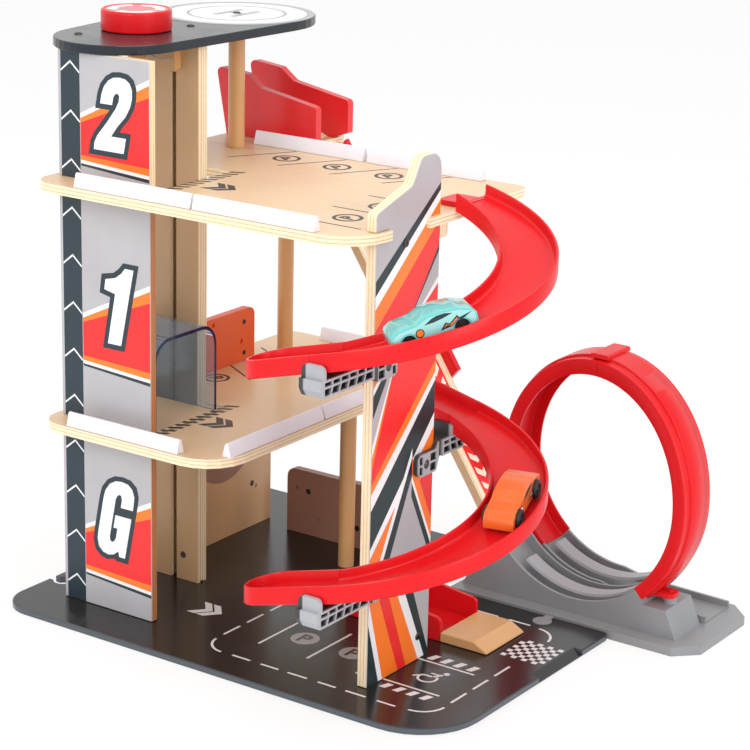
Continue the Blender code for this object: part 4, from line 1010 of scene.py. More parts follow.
class TOYGARAGE_OT_surfaces(bpy.types.Operator):
    """Gives every carried-over part its material"""

    bl_idname = "toygarage.surfaces"
    bl_label = "Part materials"

    def execute(self, context):
        for name, node in NODES.items():
            if name.startswith("kerb_"):
                chosen = "kerb_white"
            elif name.endswith("_screw"):
                chosen = "screw_black"
            elif name.endswith("_wheels"):
                chosen = "tyre"
            else:
                chosen = NODE_SURFACES.get(name, "red_moulded")
            if not node.material_slots:
                node.data.materials.append(None)
            for place in node.material_slots:
                place.material = surface(chosen)
        return {"FINISHED"}


class TOYGARAGE_OT_tracks(bpy.types.Operator):
    """Models both spirals, their cups and the lower spiral's start piece"""

    bl_idname = "toygarage.tracks"
    bl_label = "Spiral tracks"

    def execute(self, context):
        back_y = TRACK_Y + TRACK_MIDDLE
        front_y = TRACK_Y - TRACK_MIDDLE
        for name, top in (("upper_track", UPPER_TOP), ("lower_track", LOWER_TOP)):
            piece = swept(track_section(), 96, spiral_place(top))
            if name == "upper_track":
                left, right, half = TRACK_X - 24, TRACK_X + 4, 14
                round_off = half - 8
                outline = [(right, back_y - half), (right, back_y + half)]
                outline += arc(left + round_off, back_y + 8, round_off, 90, 180, 6)
                outline += arc(left + round_off, back_y - 8, round_off, 180, 270, 6)
                tab = thick_plate([outline], top_plane(0), FLOOR_TWO_TOP + 0.3, UPPER_TOP - TRACK_DEPTH - 0.5)
                piece = joined([piece, tab])
            hand_over(piece, f"{name}_moulding", "garage", "red_moulded", 40)
            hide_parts(name)
            end_piece(f"{name}_cup", front_y, top - TRACK_DROP, CUP_LENGTH, CUP_SLOPE)
        end_piece("lower_track_start", back_y, LOWER_TOP, LEAD_LENGTH, LEAD_SLOPE)
        return {"FINISHED"}


def loop_place(first, last, start, end):
    """The loop's path for the part of it between two angles, crossing from the near lane to the far one."""

    def place(share, across, inward):
        angle = start + (end - start) * share
        lean = (angle - first) / (last - first)
        lean = lean * lean * (3 - 2 * lean)
        y = LOOP_FRONT + TRACK_WIDTH / 2 + (TRACK_WIDTH + LANE_SPACE) * lean + across
        turn = math.radians(angle)
        reach = LOOP_RADIUS - inward
        tall = LOOP_TALL if math.sin(turn) > 0 else 1.0
        return (LOOP_X + reach * math.cos(turn), y, LOOP_Z + reach * tall * math.sin(turn))

    return place


def lane_place(y, start, end):
    """A level lane along the cradle's bottom."""

    def place(share, across, inward):
        turn = math.radians(start + (end - start) * share)
        reach = LOOP_RADIUS - inward
        return (LOOP_X + reach * math.cos(turn), y + across, LOOP_Z + reach * math.sin(turn))

    return place


def loop_section():
    """The loop's section: walls inward, and a raised middle band outside."""
    half = TRACK_WIDTH / 2
    inner = half - TRACK_WALL
    side = [(inner - 2.0, -9.0)] + arc(inner - 2.0, -7.0, 2.0, -90, 0, 4)[1:] + rounded_rim(inner, half, 1.4)
    side += [(half, -9.9), (half - 0.7, -10.6), (15.2, -10.6), (14.6, -11.0), (14.4, -12.2), (13.6, -12.8)]
    return mirrored(side)


class TOYGARAGE_OT_loop(bpy.types.Operator):
    """Models the two half rings of the loop"""

    bl_idname = "toygarage.loop"
    bl_label = "Loop"

    def execute(self, context):
        gap = math.degrees(TRACK_JOINT / LOOP_RADIUS)
        first, last = LOOP_RIGHT_END + gap, LOOP_LEFT_END - gap
        near_lane = LOOP_FRONT + TRACK_WIDTH / 2
        for lane, y in (("near", near_lane), ("far", near_lane + TRACK_WIDTH + LANE_SPACE)):
            band = [(-7.5, 1.2), (-8.5, -1), (8.5, -1), (7.5, 1.2)]
            ridge = swept(band, 64, lane_place(y, 233, 307))
            hand_over(ridge, f"cradle_ridge_{lane}", "garage", "grey_light", 40)
        for name, start, end in (("loop_ring_right", first, 89.9), ("loop_ring_left", 90.1, last)):
            piece = swept(loop_section(), 80, loop_place(first, last, start, end))
            if name == "loop_ring_right":
                low = PEDESTAL_TOP + 6.3
                outline = [(26, PEG_Y - 8), (26, PEG_Y + 8)]
                outline += arc(PEG_X + 1, PEG_Y + 3, 5, 90, 0, 6) + arc(PEG_X + 1, PEG_Y - 3, 5, 0, -90, 6)
                ear = thick_plate([outline], top_plane(0), low, low + 4)
                peg = thick_plate([disc(PEG_X, PEG_Y, 2.8, 32)], top_plane(0), PEDESTAL_TOP - 4, low + 6)
                piece = joined([piece, ear, peg])
            hand_over(piece, f"{name}_moulding", "garage", "red_moulded", 40)
            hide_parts(name)
        return {"FINISHED"}


class TOYGARAGE_OT_knob(bpy.types.Operator):
    """Models the lift's knob with its turning-arrow label"""

    bl_idname = "toygarage.knob"
    bl_label = "Knob"

    def execute(self, context):
        radius, high = KNOB_RADIUS, KNOB_HEIGHT
        profile = [(0, high - 5), (4.3, high - 5), (4.3, 0), (radius - 1.5, 0)]
        profile += arc(radius - 1.5, 1.5, 1.5, -90, 0, 4)[1:]
        profile += arc(radius - 2.4, high - 2.4, 2.4, 0, 90, 6)
        profile += [(28.2, high), (27.6, high - 0.5), (0, high - 0.5)]
        base = ROOF_TOP + 0.3
        piece = turned(profile, (KNOB_X, KNOB_Y, base), 96)
        hand_over(piece, "knob_moulding", "crank", "red_moulded", 35)
        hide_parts("knob")
        face = top_plane(base + high - 0.5)
        outer = sizes().label / MM
        field = [disc(KNOB_X, KNOB_Y, outer, 72)]
        ink_print("knob_label_field", field, face, 1, "label_red", "crank")
        arrows = []
        for first in (20, 140, 260):
            last = first + 78
            arrow = arc(KNOB_X, KNOB_Y, outer - 2.0, first, last, 20)
            for reach, angle in ((outer - 0.4, last), ((outer + 14.5) / 2, last + 26), (14.2, last)):
                arrow.append(arc(KNOB_X, KNOB_Y, reach, angle, angle, 1)[0])
            arrows.append(arrow + arc(KNOB_X, KNOB_Y, 16.0, last, first, 20))
        ink_print("knob_label_arrows", arrows, face, 2, "label_white", "crank")
        return {"FINISHED"}


class TOYGARAGE_OT_roof_print(bpy.types.Operator):
    """Prints the landing pad on the roof plate"""

    bl_idname = "toygarage.roof_print"
    bl_label = "Landing pad"

    def execute(self, context):
        face = top_plane(ROOF_TOP)
        u, v = PAD_X, PAD_Y
        ink_print("pad_field", [disc(u, v, 69.6, 96)], face, 1, "pad_white")
        rings = [disc(u, v, 70.2, 96), disc(u, v, 63.0, 96), disc(u, v, 45.2, 80), disc(u, v, 42.4, 80)]
        ink_print("pad_rings", rings, face, 2, "pad_grey")
        bars = [box_outline(u - 13, v - 20, u - 6.5, v + 20), box_outline(u + 6.5, v - 20, u + 13, v + 20)]
        ink_print("pad_sign", bars, face, 2, "pad_grey")
        cross = [box_outline(u - 6.2, v - 3.2, u + 6.2, v + 3.2)]
        ink_print("pad_sign_bar", cross, face, 2, "pad_grey")
        return {"FINISHED"}


STOREYS = {
    "second": (382.6, 489.2, 438.5, 475.0, 403.0, 401.0),
    "first": (170.8, 373.2, 265.6, 301.9, 228.0, 226.0),
    "ground": (0.8, 161.2, 73.8, 110.3, 36.0, 34.0),
}
BAND_EDGES = {
    "upper": (("ink_white", 0, 4, 0, 5), ("ink_orange", 4, 8, 5, 15)),
    "lower": (("ink_orange", 0, 4, 0, 6), ("ink_white", 4, 7, 6, 9), ("ink_slate", 7, 9, 9, 12)),
}


class TOYGARAGE_OT_tower_print(bpy.types.Operator):
    """Prints the strips, bands and numerals on the tower's three panels"""

    bl_idname = "toygarage.tower_print"
    bl_label = "Tower print"

    def execute(self, context):
        face = front_plane(TOWER_FRONT)
        left, right = -402.0, -327.6
        strip_left, strip_right, strip_middle = -423.5, -402.6, -412.7
        bands = {"ink_white": [], "ink_orange": [], "ink_red": [], "ink_slate": []}
        chevrons = []
        for low, high, top_left, top_right, foot_left, foot_right in STOREYS.values():
            bands["ink_slate"].append(box_outline(strip_left, low, strip_right, high))
            red = [(left, foot_left), (right, foot_right), (right, top_right - 15), (left, top_left - 8)]
            bands["ink_red"].append(red)
            for edge, at_left, at_right in (("upper", top_left, top_right), ("lower", foot_left, foot_right)):
                for ink, left_near, left_far, right_near, right_far in BAND_EDGES[edge]:
                    upper = [(right, at_right - right_near), (left, at_left - left_near)]
                    bands[ink].append([(left, at_left - left_far), (right, at_right - right_far)] + upper)
            for step in range(12):
                height = 481.8 - 41.5 * step
                if low + 11 < height < high - 2:
                    outer, inner = strip_left + 0.2, strip_right - 0.2
                    edge = [(outer, height - 8.5), (strip_middle, height), (inner, height - 8.5)]
                    under = [(inner, height - 10.3), (strip_middle, height - 1.9), (outer, height - 10.3)]
                    chevrons.append(edge + under)
        ink_print("tower_strip", bands.pop("ink_slate"), face, 1, "ink_slate")
        ink_print("tower_chevrons", chevrons, face, 2, "ink_white")
        for ink, outlines in bands.items():
            ink_print(f"tower_bands_{ink[4:]}", outlines, face, 1, ink)
        for storey, (u0, v0, filling, edging) in NUMERALS.items():
            for title, layer, ink, outline in (
                ("outline", 3, "ink_slate", edging),
                ("numeral", 4, "ink_white", filling),
            ):
                leaning = [(u0 + u + NUMERAL_LEAN * v, v0 + v) for u, v in outline]
                ink_print(f"tower_{title}_{storey}", [leaning], face, layer, ink)
        return {"FINISHED"}


# Each storey's numeral: its lower left corner, its outline and the dark edge round it, before they lean
NUMERALS = {
    "second": (
        -388,
        410,
        [
            (0.5, 0), (33, 0), (33, 13), (17, 13), (22, 22), (29, 31), (32.5, 40), (33, 47), (31.6, 54),
            (28, 59.5), (23, 62.4), (16.5, 63.2), (10, 62.4), (5, 59.4), (1.4, 54), (0, 47.5), (0, 39.5),
            (13, 39.5), (13, 46), (14.5, 49), (17, 49.8), (19.3, 47.8), (19.5, 43), (17.5, 37), (10, 24),
            (2, 12), (0, 6),
        ],
        [
            (-4.6, -4.6), (37.6, -4.6), (37.6, 17.6), (25.5, 17.6), (27, 21), (33, 29), (37, 39),
            (37.6, 47.5), (36, 56), (31.4, 63), (25, 66.8), (16.5, 67.8), (8, 66.8), (1.5, 62.8),
            (-3.0, 56), (-4.6, 48.5), (-4.6, 34.9), (11, 34.9), (5.5, 26.5), (-2, 14.5), (-4.6, 7.5),
        ],
    ),
    "first": (
        -422.9,
        243.9,
        [
            (54.5, 68.3), (64, 68.3), (63.5, 0.2), (48.8, 0), (48.4, 44.6), (36, 47), (35.5, 56),
            (45.8, 58.6), (51.6, 63.5),
        ],
        [
            (51.8, 72.9), (68.7, 72.9), (68.2, -4.5), (44.1, -4.7), (43.5, 40.9), (31.4, 43.3), (30.4, 60),
            (43.1, 62.9), (48.1, 67.3),
        ],
    ),
    "ground": (
        -391,
        52,
        [
            (34, 0), (27.5, 0), (25.5, 5), (21, 1), (15, -0.5), (9, 0.8), (3.5, 5), (0.5, 12), (0, 18),
            (0, 52), (0.8, 59), (4.5, 65.5), (10.5, 69.3), (17.5, 70), (24.5, 69), (30, 65),
            (33.4, 58.5), (34, 51), (34, 46), (20.5, 46), (20.5, 53), (19, 57), (17, 57.6),
            (14.8, 56.5), (13.5, 53), (13.5, 17), (14.5, 13.5), (17, 12.2), (19.3, 13.5), (20.5, 17),
            (20.5, 26), (16, 26), (16, 38), (34, 38),
        ],
        [
            (38.6, -4.6), (24.5, -4.6), (23, -2.8), (15, -5.1), (7, -3.6), (0, 1.5), (-3.9, 10), (-4.6, 18),
            (-4.6, 52), (-3.6, 61), (1.2, 69), (8.5, 73.6), (17.5, 74.6), (26.5, 73.4), (34, 68.5),
            (38, 60), (38.6, 51),
        ],
    ),
}


# The side panel's rising bands: upper and lower edge at the front, then at the back
SIDE_BANDS = (
    ("ink_dark", 343, 331, 408, 402),
    ("ink_white", 331, 320, 402, 394),
    ("ink_orange", 320, 302, 394, 378),
    ("ink_red", 302, 175, 378, 261),
    ("ink_orange", 175, 167, 261, 250),
    ("ink_white", 167, 153, 250, 243),
    ("ink_dark", 153, 120, 243, 215),
    ("ink_white", 120, 112, 215, 203),
    ("ink_orange", 112, 96, 203, 178),
    ("ink_red", 96, 60, 178, 120),
    ("ink_white", 60, 1, 120, 1),
)
# Its foot's fan: both edges at the bottom, then at the fan's top
FOOT_TOP = 78
FOOT_FAN = (
    ("ink_dark", 46, 62.5, 16, 40),
    ("ink_white", 62.5, 68.5, 40, 46),
    ("ink_orange", 68.5, 91, 46, 59.5),
    ("ink_red", 91, 103, 59.5, 73),
    ("ink_orange", 103, 121, 73, 83.5),
    ("ink_white", 121, 130, 83.5, 94),
    ("ink_dark", 130, 137, 94, 106),
)


class TOYGARAGE_OT_side_print(bpy.types.Operator):
    """Prints plain racing stripes on the side panel"""

    bl_idname = "toygarage.side_print"
    bl_label = "Side panel print"

    def execute(self, context):
        front, back = SIDE_FRONT + 0.7, SIDE_BACK - 0.7
        stripes = []
        for ink, front_high, front_low, back_high, back_low in SIDE_BANDS:
            band = [(front, front_low), (back, back_low), (back, back_high), (front, front_high)]
            stripes.append((ink, band))
        near, far = (front + 36, 288), (front + 38, 288)
        left, right, fall = (front + 4, 76), (front + 58, 184), (back, 122)
        wedges = [("ink_panel", [left, (front + 74, 1), (back, 1), fall, right])]
        wedges += [
            (ink, [(front, high), (front, low), near])
            for ink, high, low in (
                ("ink_panel", 231, 208),
                ("ink_dark", 250, 231),
                ("ink_white", 256, 250),
                ("ink_white", 208, 198),
                ("ink_orange", 264, 256),
                ("ink_orange", 198, 187),
            )
        ]
        wedges += [
            (ink, [far, (back, high), (back, low)])
            for ink, high, low in (("ink_panel", 352, 331), ("ink_dark", 357, 352), ("ink_white", 331, 325))
        ]
        gable = [
            ("ink_dark", [left, (left[0] + 11, left[1]), (right[0], right[1] - 16), right]),
            ("ink_white", [(left[0] - 3.5, left[1] + 4), left, right, (right[0] - 0.5, right[1] + 8)]),
        ]
        for ink, upper, lower in (("ink_orange", 0, 16), ("ink_white", 16, 22), ("ink_dark", 22, 34)):
            edge = [(right[0], right[1] - upper), (fall[0], fall[1] - upper)]
            gable.append((ink, edge + [(fall[0], fall[1] - lower), (right[0], right[1] - lower)]))
        foot = []
        for ink, low_first, low_last, top_first, top_last in FOOT_FAN:
            band = [(low_first, 1), (low_last, 1), (top_last, FOOT_TOP), (top_first, FOOT_TOP)]
            foot.append((ink, clipped(band, front, 1, back, 430)))
        layers = {"stripes": stripes, "wedges": wedges, "gable": gable, "foot": foot}
        for layer, (title, prints) in enumerate(layers.items(), start=1):
            by_ink = {}
            for ink, outline in prints:
                by_ink.setdefault(ink, []).append(outline)
            for ink, outlines in by_ink.items():
                name = f"side_{title}_{ink[4:]}"
                ink_print(name, outlines, right_plane(SIDE_FACE), layer, ink)
        return {"FINISHED"}


def chevron_pair(x1, y0, y1):
    """Two broad arrowheads that point right, one behind the other."""
    middle = (y0 + y1) / 2
    wide, back = 8.0, 11.0
    outlines = []
    for tip in (x1, x1 - wide - 2.2):
        tail = tip - back
        points = [(tip, middle), (tail, y1), (tail - wide, y1)]
        outlines.append(points + [(tip - wide, middle), (tail - wide, y0), (tail, y0)])
    return outlines


def hatch_row(x0, x1, y0, y1, count):
    """A row of slanted bars along y, each half as wide as the row's pitch."""
    pitch = (y1 - y0) / count
    lean = 6.0
    bars = []
    for index in range(count):
        low = y0 + pitch * index
        high = low + pitch / 2
        bars.append([(x0, low), (x1, low + lean), (x1, high + lean), (x0, high)])
    return bars


def parking_disc(x, y, radius, turn):
    """A disc with a parking sign's letter cut out of it."""
    return [disc(x, y, radius, 40)] + sign_outlines("P", x, y, radius * 1.25, turn, 0.03)


def parking_ring(x, y, radius, turn):
    """A broad ring round a parking sign's letter."""
    rings = [disc(x, y, radius, 40), disc(x, y, radius - 3.2, 40)]
    return rings + sign_outlines("P", x, y, radius * 1.05, turn, 0.05)


class TOYGARAGE_OT_floor_prints(bpy.types.Operator):
    """Prints the parking bays on both plywood floors"""

    bl_idname = "toygarage.floor_prints"
    bl_label = "Floor prints"

    def execute(self, context):
        lines = [bar(-366 + 55 * k, 198, -334 + 55 * k, 256, 2.0) for k in range(4)]
        lines += [bar(-182, y, -118, y, 2.0) for y in (152, 101)] + [bar(-159.5, 50, -118, 50, 2.0)]
        two = {
            "marks": hatch_row(-326, -314, 54, 156, 11) + chevron_pair(-278, 85, 109) + lines,
            "signs": [],
        }
        back_bays = ((-322.6, 226.5, 60), (-267.6, 226, 60), (-212.5, 225.3, 60))
        for x, y, turn in back_bays + ((-148.8, 75.3, 90), (-149.5, 126, 90)):
            two["signs"] += parking_ring(x, y, 12.7, turn)
        lines = [bar(-418, y, -362, y - 33, 2.0) for y in (260, 317)] + [bar(-375, 318, -375, 372, 2.0)]
        one = {
            "marks": hatch_row(-332, -320, 52, 158, 11) + chevron_pair(-289, 96, 122) + lines,
            "signs": parking_ring(-389.5, 213, 12.3, -30) + parking_ring(-352, 266, 12.3, -30),
        }
        for floor, top, prints in (("two", FLOOR_TWO_TOP, two), ("one", FLOOR_ONE_TOP, one)):
            for title, outlines in prints.items():
                ink_print(f"floor_{floor}_{title}", outlines, top_plane(top), 1, "ink_brown")
        return {"FINISHED"}


class TOYGARAGE_OT_board_print(bpy.types.Operator):
    """Prints the road marks on the base board"""

    bl_idname = "toygarage.board_print"
    bl_label = "Board print"

    def execute(self, context):
        face = top_plane(0)
        wide = 2.2
        marks = chevron_pair(-291, 84, 110)
        for low, high in ((63, 86), (96, 119), (129, 153)):
            marks.append(bar(-262, low, -262, high, wide))
            marks.append(bar(-31, low + 3, -31, high + 3, wide))
        for low, high in ((-229, -210), (-199, -180.5), (-171, -151), (-140, -122), (-112, -92), (-81, -63)):
            marks.append(bar(low, 33, high, 33, wide))
        for low, high in ((-118, -96), (-85, -63)):
            marks.append(bar(low, 242, high, 242, wide))
        for u, v, first, last in ((-240, 54, 185, 268), (-52, 56, 272, 358), (-54, 219, 4, 88)):
            marks.append(ring_part(u, v, 20.5, 20.5 + wide, first, last, 16))
        marks += [bar(x, 66, x, 131, wide) for x in (-226.5, -175.5, -125)]
        marks += [bar(-101, y, -45.5, y, wide) for y in (123.4, 71)]
        for y0, y1 in ((127.5, 138), (57, 66.5)):
            marks += [[(x, y0), (x + 6, y0), (x + 9, y1), (x + 3, y1)] for x in (-96, -83, -70, -57)]
        ink_print("board_marks", marks, face, 1, "ink_road")
        discs = parking_disc(-201.3, 98.6, 12.7, 0) + parking_disc(-150.5, 98.6, 12.7, 0)
        ink_print("board_signs", discs, face, 1, "ink_road_disc")
        squares = []
        for i in range(8):
            for j in range(i % 2, 8, 2):
                x, y = -51.5 + i * 5.05, 173 + j * 5.0
                squares.append(box_outline(x + 0.05, y + 0.05, x + 4.95, y + 4.9))
        ink_print("board_chequers", squares, face, 1, "ink_road")
        u, v = -73.0, 98.0
        chair = {
            "wheel": [
                ring_part(u, v - 3, 7.0, 9.2, 150, 400, 30),
                disc(u + 9, v + 12.5, 2.6, 20),
                bar(u + 7.6, v + 9, u + 2.8, v + 1.5, 2.6),
            ],
            "seat": [bar(u + 2.2, v + 0.8, u - 6.4, v + 0.8, 2.4)],
            "legs": [
                bar(u - 5.8, v + 0.6, u - 12.6, v - 6.4, 2.4),
                bar(u + 5.6, v + 6.6, u - 2.6, v + 6.6, 2.0),
            ],
        }
        for layer, (title, outlines) in enumerate(chair.items(), start=1):
            ink_print(f"board_chair_{title}", outlines, face, layer, "ink_road")
        return {"FINISHED"}


class TOYGARAGE_OT_ramp_print(bpy.types.Operator):
    """Prints the chevron strip on the drop ramp"""

    bl_idname = "toygarage.ramp_print"
    bl_label = "Ramp print"

    def execute(self, context):
        face = ramp_plane()
        ink_print("ramp_strip", [box_outline(120, 9, 372, 32)], face, 1, "ink_red")
        chevrons = []
        for k in range(17):
            x = 126 + k * 14.4
            chevrons.append([(x, 12), (x + 6.5, 12), (x + 12.5, 20.5), (x + 6.5, 29), (x, 29), (x + 6, 20.5)])
        ink_print("ramp_chevrons", chevrons, face, 2, "ramp_cream")
        lines = [box_outline(10, 4.2, 372, 6.2), box_outline(10, 34.8, 372, 36.8)]
        ink_print("ramp_lines", lines, face, 1, "ramp_cream")
        return {"FINISHED"}


def screw_head(radius):
    """A countersunk screw head with a cross recess, facing up at the origin."""
    profile = [(0, -0.3), (radius, -0.3), (radius, 0.35), (radius - 0.5, 0.7), (0, 0.85)]
    head = turned(profile, WORLD_ORIGIN, 32)
    for turn in (0, math.pi / 2):
        bpy.ops.mesh.primitive_cube_add(size=1, location=(0, 0, 0.0008))
        cutter = bpy.context.object
        cutter.scale = (radius * 1.2 * MM, radius * 0.26 * MM, 0.0013)
        cutter.rotation_euler = (0, 0, turn)
        cut(head, cutter)
    return head


class TOYGARAGE_OT_screws(bpy.types.Operator):
    """Places the screw heads on the roof and the side panel"""

    bl_idname = "toygarage.screws"
    bl_label = "Screw heads"

    def execute(self, context):
        model = screw_head(3.4)
        roof, side = ROOF_TOP + 0.35, SIDE_FACE + 0.3
        up = Matrix.Identity(4)
        right = Matrix.Rotation(math.pi / 2, 4, "Y")
        places = {
            "roof_screw_pad": ((PAD_X, PAD_Y, roof), up),
            "roof_screw_middle": ((-389.8, 175.1, roof), up),
            "roof_screw_front": ((-431.5, 76.7, roof), up),
            "side_panel_screw": ((side, 87.4, 366.8), right),
            "side_foot_screw": ((side, 119.8, 21.5), right),
        }
        for name, (place, turn) in places.items():
            piece = model.copy()
            piece.data = model.data.copy()
            context.scene.collection.objects.link(piece)
            piece.matrix_world = Matrix.Translation(at(*place)) @ turn
            settle(piece)
            hand_over(piece, name, "garage", "screw_black", 35)
        bpy.data.objects.remove(model)
        return {"FINISHED"}


def car_place(angle, top):
    """The matrix that carries a car from its own frame to its place on a spiral."""
    x, y, z = spiral_place(top)((90 - angle) / 180, 0, -TRACK_DEPTH)
    pitch = math.atan(TRACK_DROP / (math.pi * TRACK_MIDDLE))
    heading = Matrix.Rotation(math.radians(angle + 90), 4, "Z")
    return Matrix.Translation(at(x, y, z + CAR_LIFT)) @ heading @ Matrix.Rotation(-pitch, 4, "Y")


def eased(x, points):
    """A smooth curve through (x, value) points."""
    if x <= points[0][0]:
        return points[0][1]
    for (x0, v0), (x1, v1) in zip(points, points[1:]):
        if x <= x1:
            share = (x - x0) / (x1 - x0)
            share = share * share * (3 - 2 * share)
            return v0 + (v1 - v0) * share
    return points[-1][1]


def car_outline(design, inset=0.0):
    """A car's side view, nose at -x, with an arch over each wheel."""
    low, half = CAR_LOW + inset, CAR_HALF_LENGTH - inset
    level, reach = design["arch_level"], design["arch"] + inset
    points = [(-half, low)]
    for x in AXLES.values():
        foot = math.degrees(math.asin(min(1.0, (level - low) / reach)))
        points += arc(x, level, reach, 180 + foot, -foot, 14)
    points.append((half, low))
    steps = 34
    for k in range(steps + 1):
        x = half - 2 * half * k / steps
        points.append((x, eased(x, ROOF_LINE) - inset))
    return points


def car_side(side, reach):
    """The plane of a car's flank: outlines in (x, z), facing out. side is 1 or -1."""
    return Matrix(((1, 0, 0, 0), (0, 0, side, side * reach * MM), (0, 1, 0, 0), (0, 0, 0, 1)))


def car_shell(design):
    """A car's body: its side view across the whole width, with wells for wheels that stay inside it."""
    half = design["half"]
    shell = thick_plate([car_outline(design)], car_side(1, 0), -half, half)
    wheel, outer = design["wheel"][:2]
    if outer < half:
        for x in AXLES.values():
            bpy.ops.mesh.primitive_cylinder_add(
                vertices=40, radius=(wheel + 0.4) * MM, depth=(outer + 0.6) * 2 * MM,
                location=(x * MM, 0, WHEEL_RADIUS * MM), rotation=(math.pi / 2, 0, 0),
            )
            cut(shell, bpy.context.object)
    soften = shell.modifiers.new("edges", "BEVEL")
    soften.width = 0.0012
    soften.segments = 3
    soften.limit_method = "ANGLE"
    soften.angle_limit = math.radians(50)
    soften.use_clamp_overlap = True
    apply_all(shell)
    return shell


def wheel_pair(radius, out, wide):
    """Two wheels with dished hubs on one axle, along y, centred at the origin."""
    axle = 1.1
    profile = [(axle, 0), (axle, out - wide), (radius - 1.0, out - wide), (radius, out - wide + 0.9)]
    profile += [(radius, out - 0.9), (radius - 0.9, out), (4.6, out), (4.2, out - 0.9), (2.0, out - 0.9)]
    profile += [(1.6, out - 0.2), (0, out - 0.2)]
    piece = turned([(r, -v) for r, v in profile[::-1]] + profile, WORLD_ORIGIN, 40)
    piece.data.transform(Matrix.Rotation(math.pi / 2, 4, "X"))
    clean(piece)
    return piece


CAR_WINDOW = [(-7, 14.4), (-1, 17.6), (4, 18.9), (10, 18.8), (16, 17.2), (8, 15.4), (0, 14.4)]
CAR_STRIPE = [
    (4, 6.4), (9, 11.6), (12, 9.8), (19, 14.6), (20, 12.2), (31, 14.0), (21, 9.6), (19.6, 11.2), (13, 7.2),
]
CAR_INLAY = [(6.6, 7.6), (9.6, 10.0), (12, 8.6), (18.4, 12.8), (19, 11.6), (12.8, 7.9), (10, 9.2)]
CAR_DISC = (-11.5, 9.4)


class TOYGARAGE_OT_cars(bpy.types.Operator):
    """Models the two toy cars with flanks, windows, a plain disc, stripes and wheels"""

    bl_idname = "toygarage.cars"
    bl_label = "Toy cars"

    def execute(self, context):
        for car, (angle, top) in CARS.items():
            place = car_place(angle, top)
            design = CAR_DESIGN[car]
            pieces = [hand_over(car_shell(design), f"{car}_shell", car, design["paint"], 40)]
            trims = [
                ("windows", [CAR_WINDOW, disc(*CAR_DISC, 3.5, 32), CAR_STRIPE], 2, "ink_dark"),
                ("marks", [disc(*CAR_DISC, 2.6, 28), CAR_INLAY], 3, design["mark"]),
            ]
            if car == "teal_car":
                trims.insert(0, ("flanks", [car_outline(design, 1.5)], 1, "teal_flank"))
            for title, outlines, layer, ink in trims:
                low = INK_GAP / 2 + INK_STEP * (layer - 1)
                sides = [car_side(side, design["half"]) for side in (-1, 1)]
                plates = [thick_plate(outlines, side, low, low + INK_THICK) for side in sides]
                pieces.append(hand_over(joined(plates), f"{car}_{title}", car, ink))
            for piece in pieces:
                piece.data.transform(place)
            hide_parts(f"{car}_body")
            for end, x in AXLES.items():
                wheels = wheel_pair(*design["wheel"])
                wheels.data.transform(place @ Matrix.Translation((x * MM, 0, WHEEL_RADIUS * MM)))
                body = f"{car.removesuffix('_car')}_{end}_axle"
                hand_over(wheels, f"{car}_{end}_tyres", body, "tyre", 35)
                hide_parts(f"{car}_{end}_wheels")
        return {"FINISHED"}


def rail_place(axis, start, end, middle, top):
    """A straight line along x or y on a floor."""

    def place(share, across, up):
        run = start + (end - start) * share
        return (run, middle + across, top + up) if axis == "X" else (middle + across, run, top + up)

    return place


class TOYGARAGE_OT_kerbs(bpy.types.Operator):
    """Models the white rails with their slanting sides"""

    bl_idname = "toygarage.kerbs"
    bl_label = "Kerbs"

    def execute(self, context):
        for name, line in KERBS.items():
            piece = swept(KERB_SECTION, 2, rail_place(*line))
            hand_over(piece, f"{name}_rail", "garage", "kerb_white", 40)
            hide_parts(name)
        return {"FINISHED"}


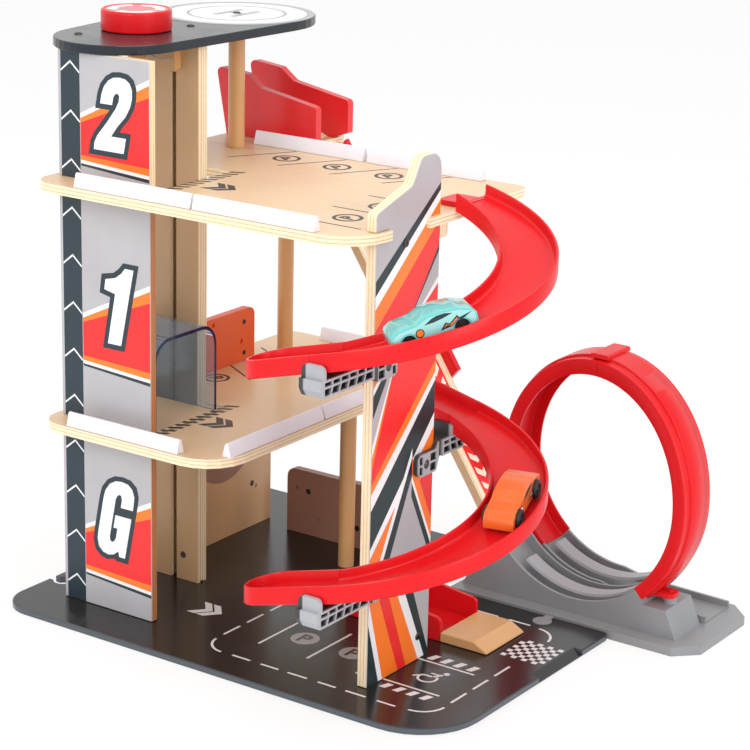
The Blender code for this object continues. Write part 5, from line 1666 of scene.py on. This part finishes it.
class TOYGARAGE_OT_holes(bpy.types.Operator):
    """Paints dark discs in the screw holes of the boards as painted shade, and prints the round spot on the
    ground wall
    """

    bl_idname = "toygarage.holes"
    bl_label = "Screw holes"

    def execute(self, context):
        wall, taupe, guide = right_plane(WALL_FACE), front_plane(TAUPE_FACE), front_plane(GUIDE_FACE)
        birch = "birch_plywood"
        # Dark discs where the screw holes are: painted shade inside the holes, in near-black and in the
        # floors' brown ink
        holes = {
            "ground_wall_hole_shades": (wall, ((178, 44), (286, 44)), 3.0, "ink_brown", birch),
            "orange_board_hole_shades": (wall, ((272, 208), (272, 178)), 2.4, "hole_painted_shade", "orange_board"),
            "taupe_board_hole_shades": (taupe, ((-347, 44), (-290, 20)), 2.8, "hole_painted_shade", "taupe_board"),
            "guide_wall_hole_shades": (guide, ((-414, 24), (-369, 24)), 3.2, "ink_brown", birch),
        }
        for name, (face, places, radius, ink, slot) in holes.items():
            ink_print(name, [disc(u, v, radius, 20) for u, v in places], face, 1, ink)
        spot = clipped(disc(243, 107, 50, 64), 190, 0, 300, 161)
        ink_print("ground_wall_spot", [spot], wall, 1, "taupe_paint")
        return {"FINISHED"}


class TOYGARAGE_PT_panel(bpy.types.Panel):
    """Lists the garage's makers"""

    bl_label = "Toy Garage"
    bl_idname = "TOYGARAGE_PT_panel"
    bl_space_type = "VIEW_3D"
    bl_region_type = "UI"
    bl_category = "Toy Garage"

    def draw(self, context):
        for maker in MAKERS:
            self.layout.operator(maker.bl_idname)


MAKERS = (
    TOYGARAGE_OT_stage,
    TOYGARAGE_OT_surfaces,
    TOYGARAGE_OT_tracks,
    TOYGARAGE_OT_loop,
    TOYGARAGE_OT_knob,
    TOYGARAGE_OT_roof_print,
    TOYGARAGE_OT_tower_print,
    TOYGARAGE_OT_side_print,
    TOYGARAGE_OT_floor_prints,
    TOYGARAGE_OT_board_print,
    TOYGARAGE_OT_ramp_print,
    TOYGARAGE_OT_screws,
    TOYGARAGE_OT_cars,
    TOYGARAGE_OT_kerbs,
    TOYGARAGE_OT_holes,
)
CLASSES = (ToyGarageColours, ToyGarageSizes) + MAKERS + (TOYGARAGE_PT_panel,)


def register():
    for made in CLASSES:
        bpy.utils.register_class(made)
    bpy.types.Scene.toy_garage_colours = PointerProperty(type=ToyGarageColours)
    bpy.types.Scene.toy_garage_sizes = PointerProperty(type=ToyGarageSizes)


def unregister():
    del bpy.types.Scene.toy_garage_sizes
    del bpy.types.Scene.toy_garage_colours
    for made in reversed(CLASSES):
        bpy.utils.unregister_class(made)


def main():
    register()
    for maker in MAKERS:
        group_name, operator_name = maker.bl_idname.split(".")
        getattr(getattr(bpy.ops, group_name), operator_name)()
    bpy.ops.object.select_all(action="DESELECT")


if __name__ == "__main__":
    main()
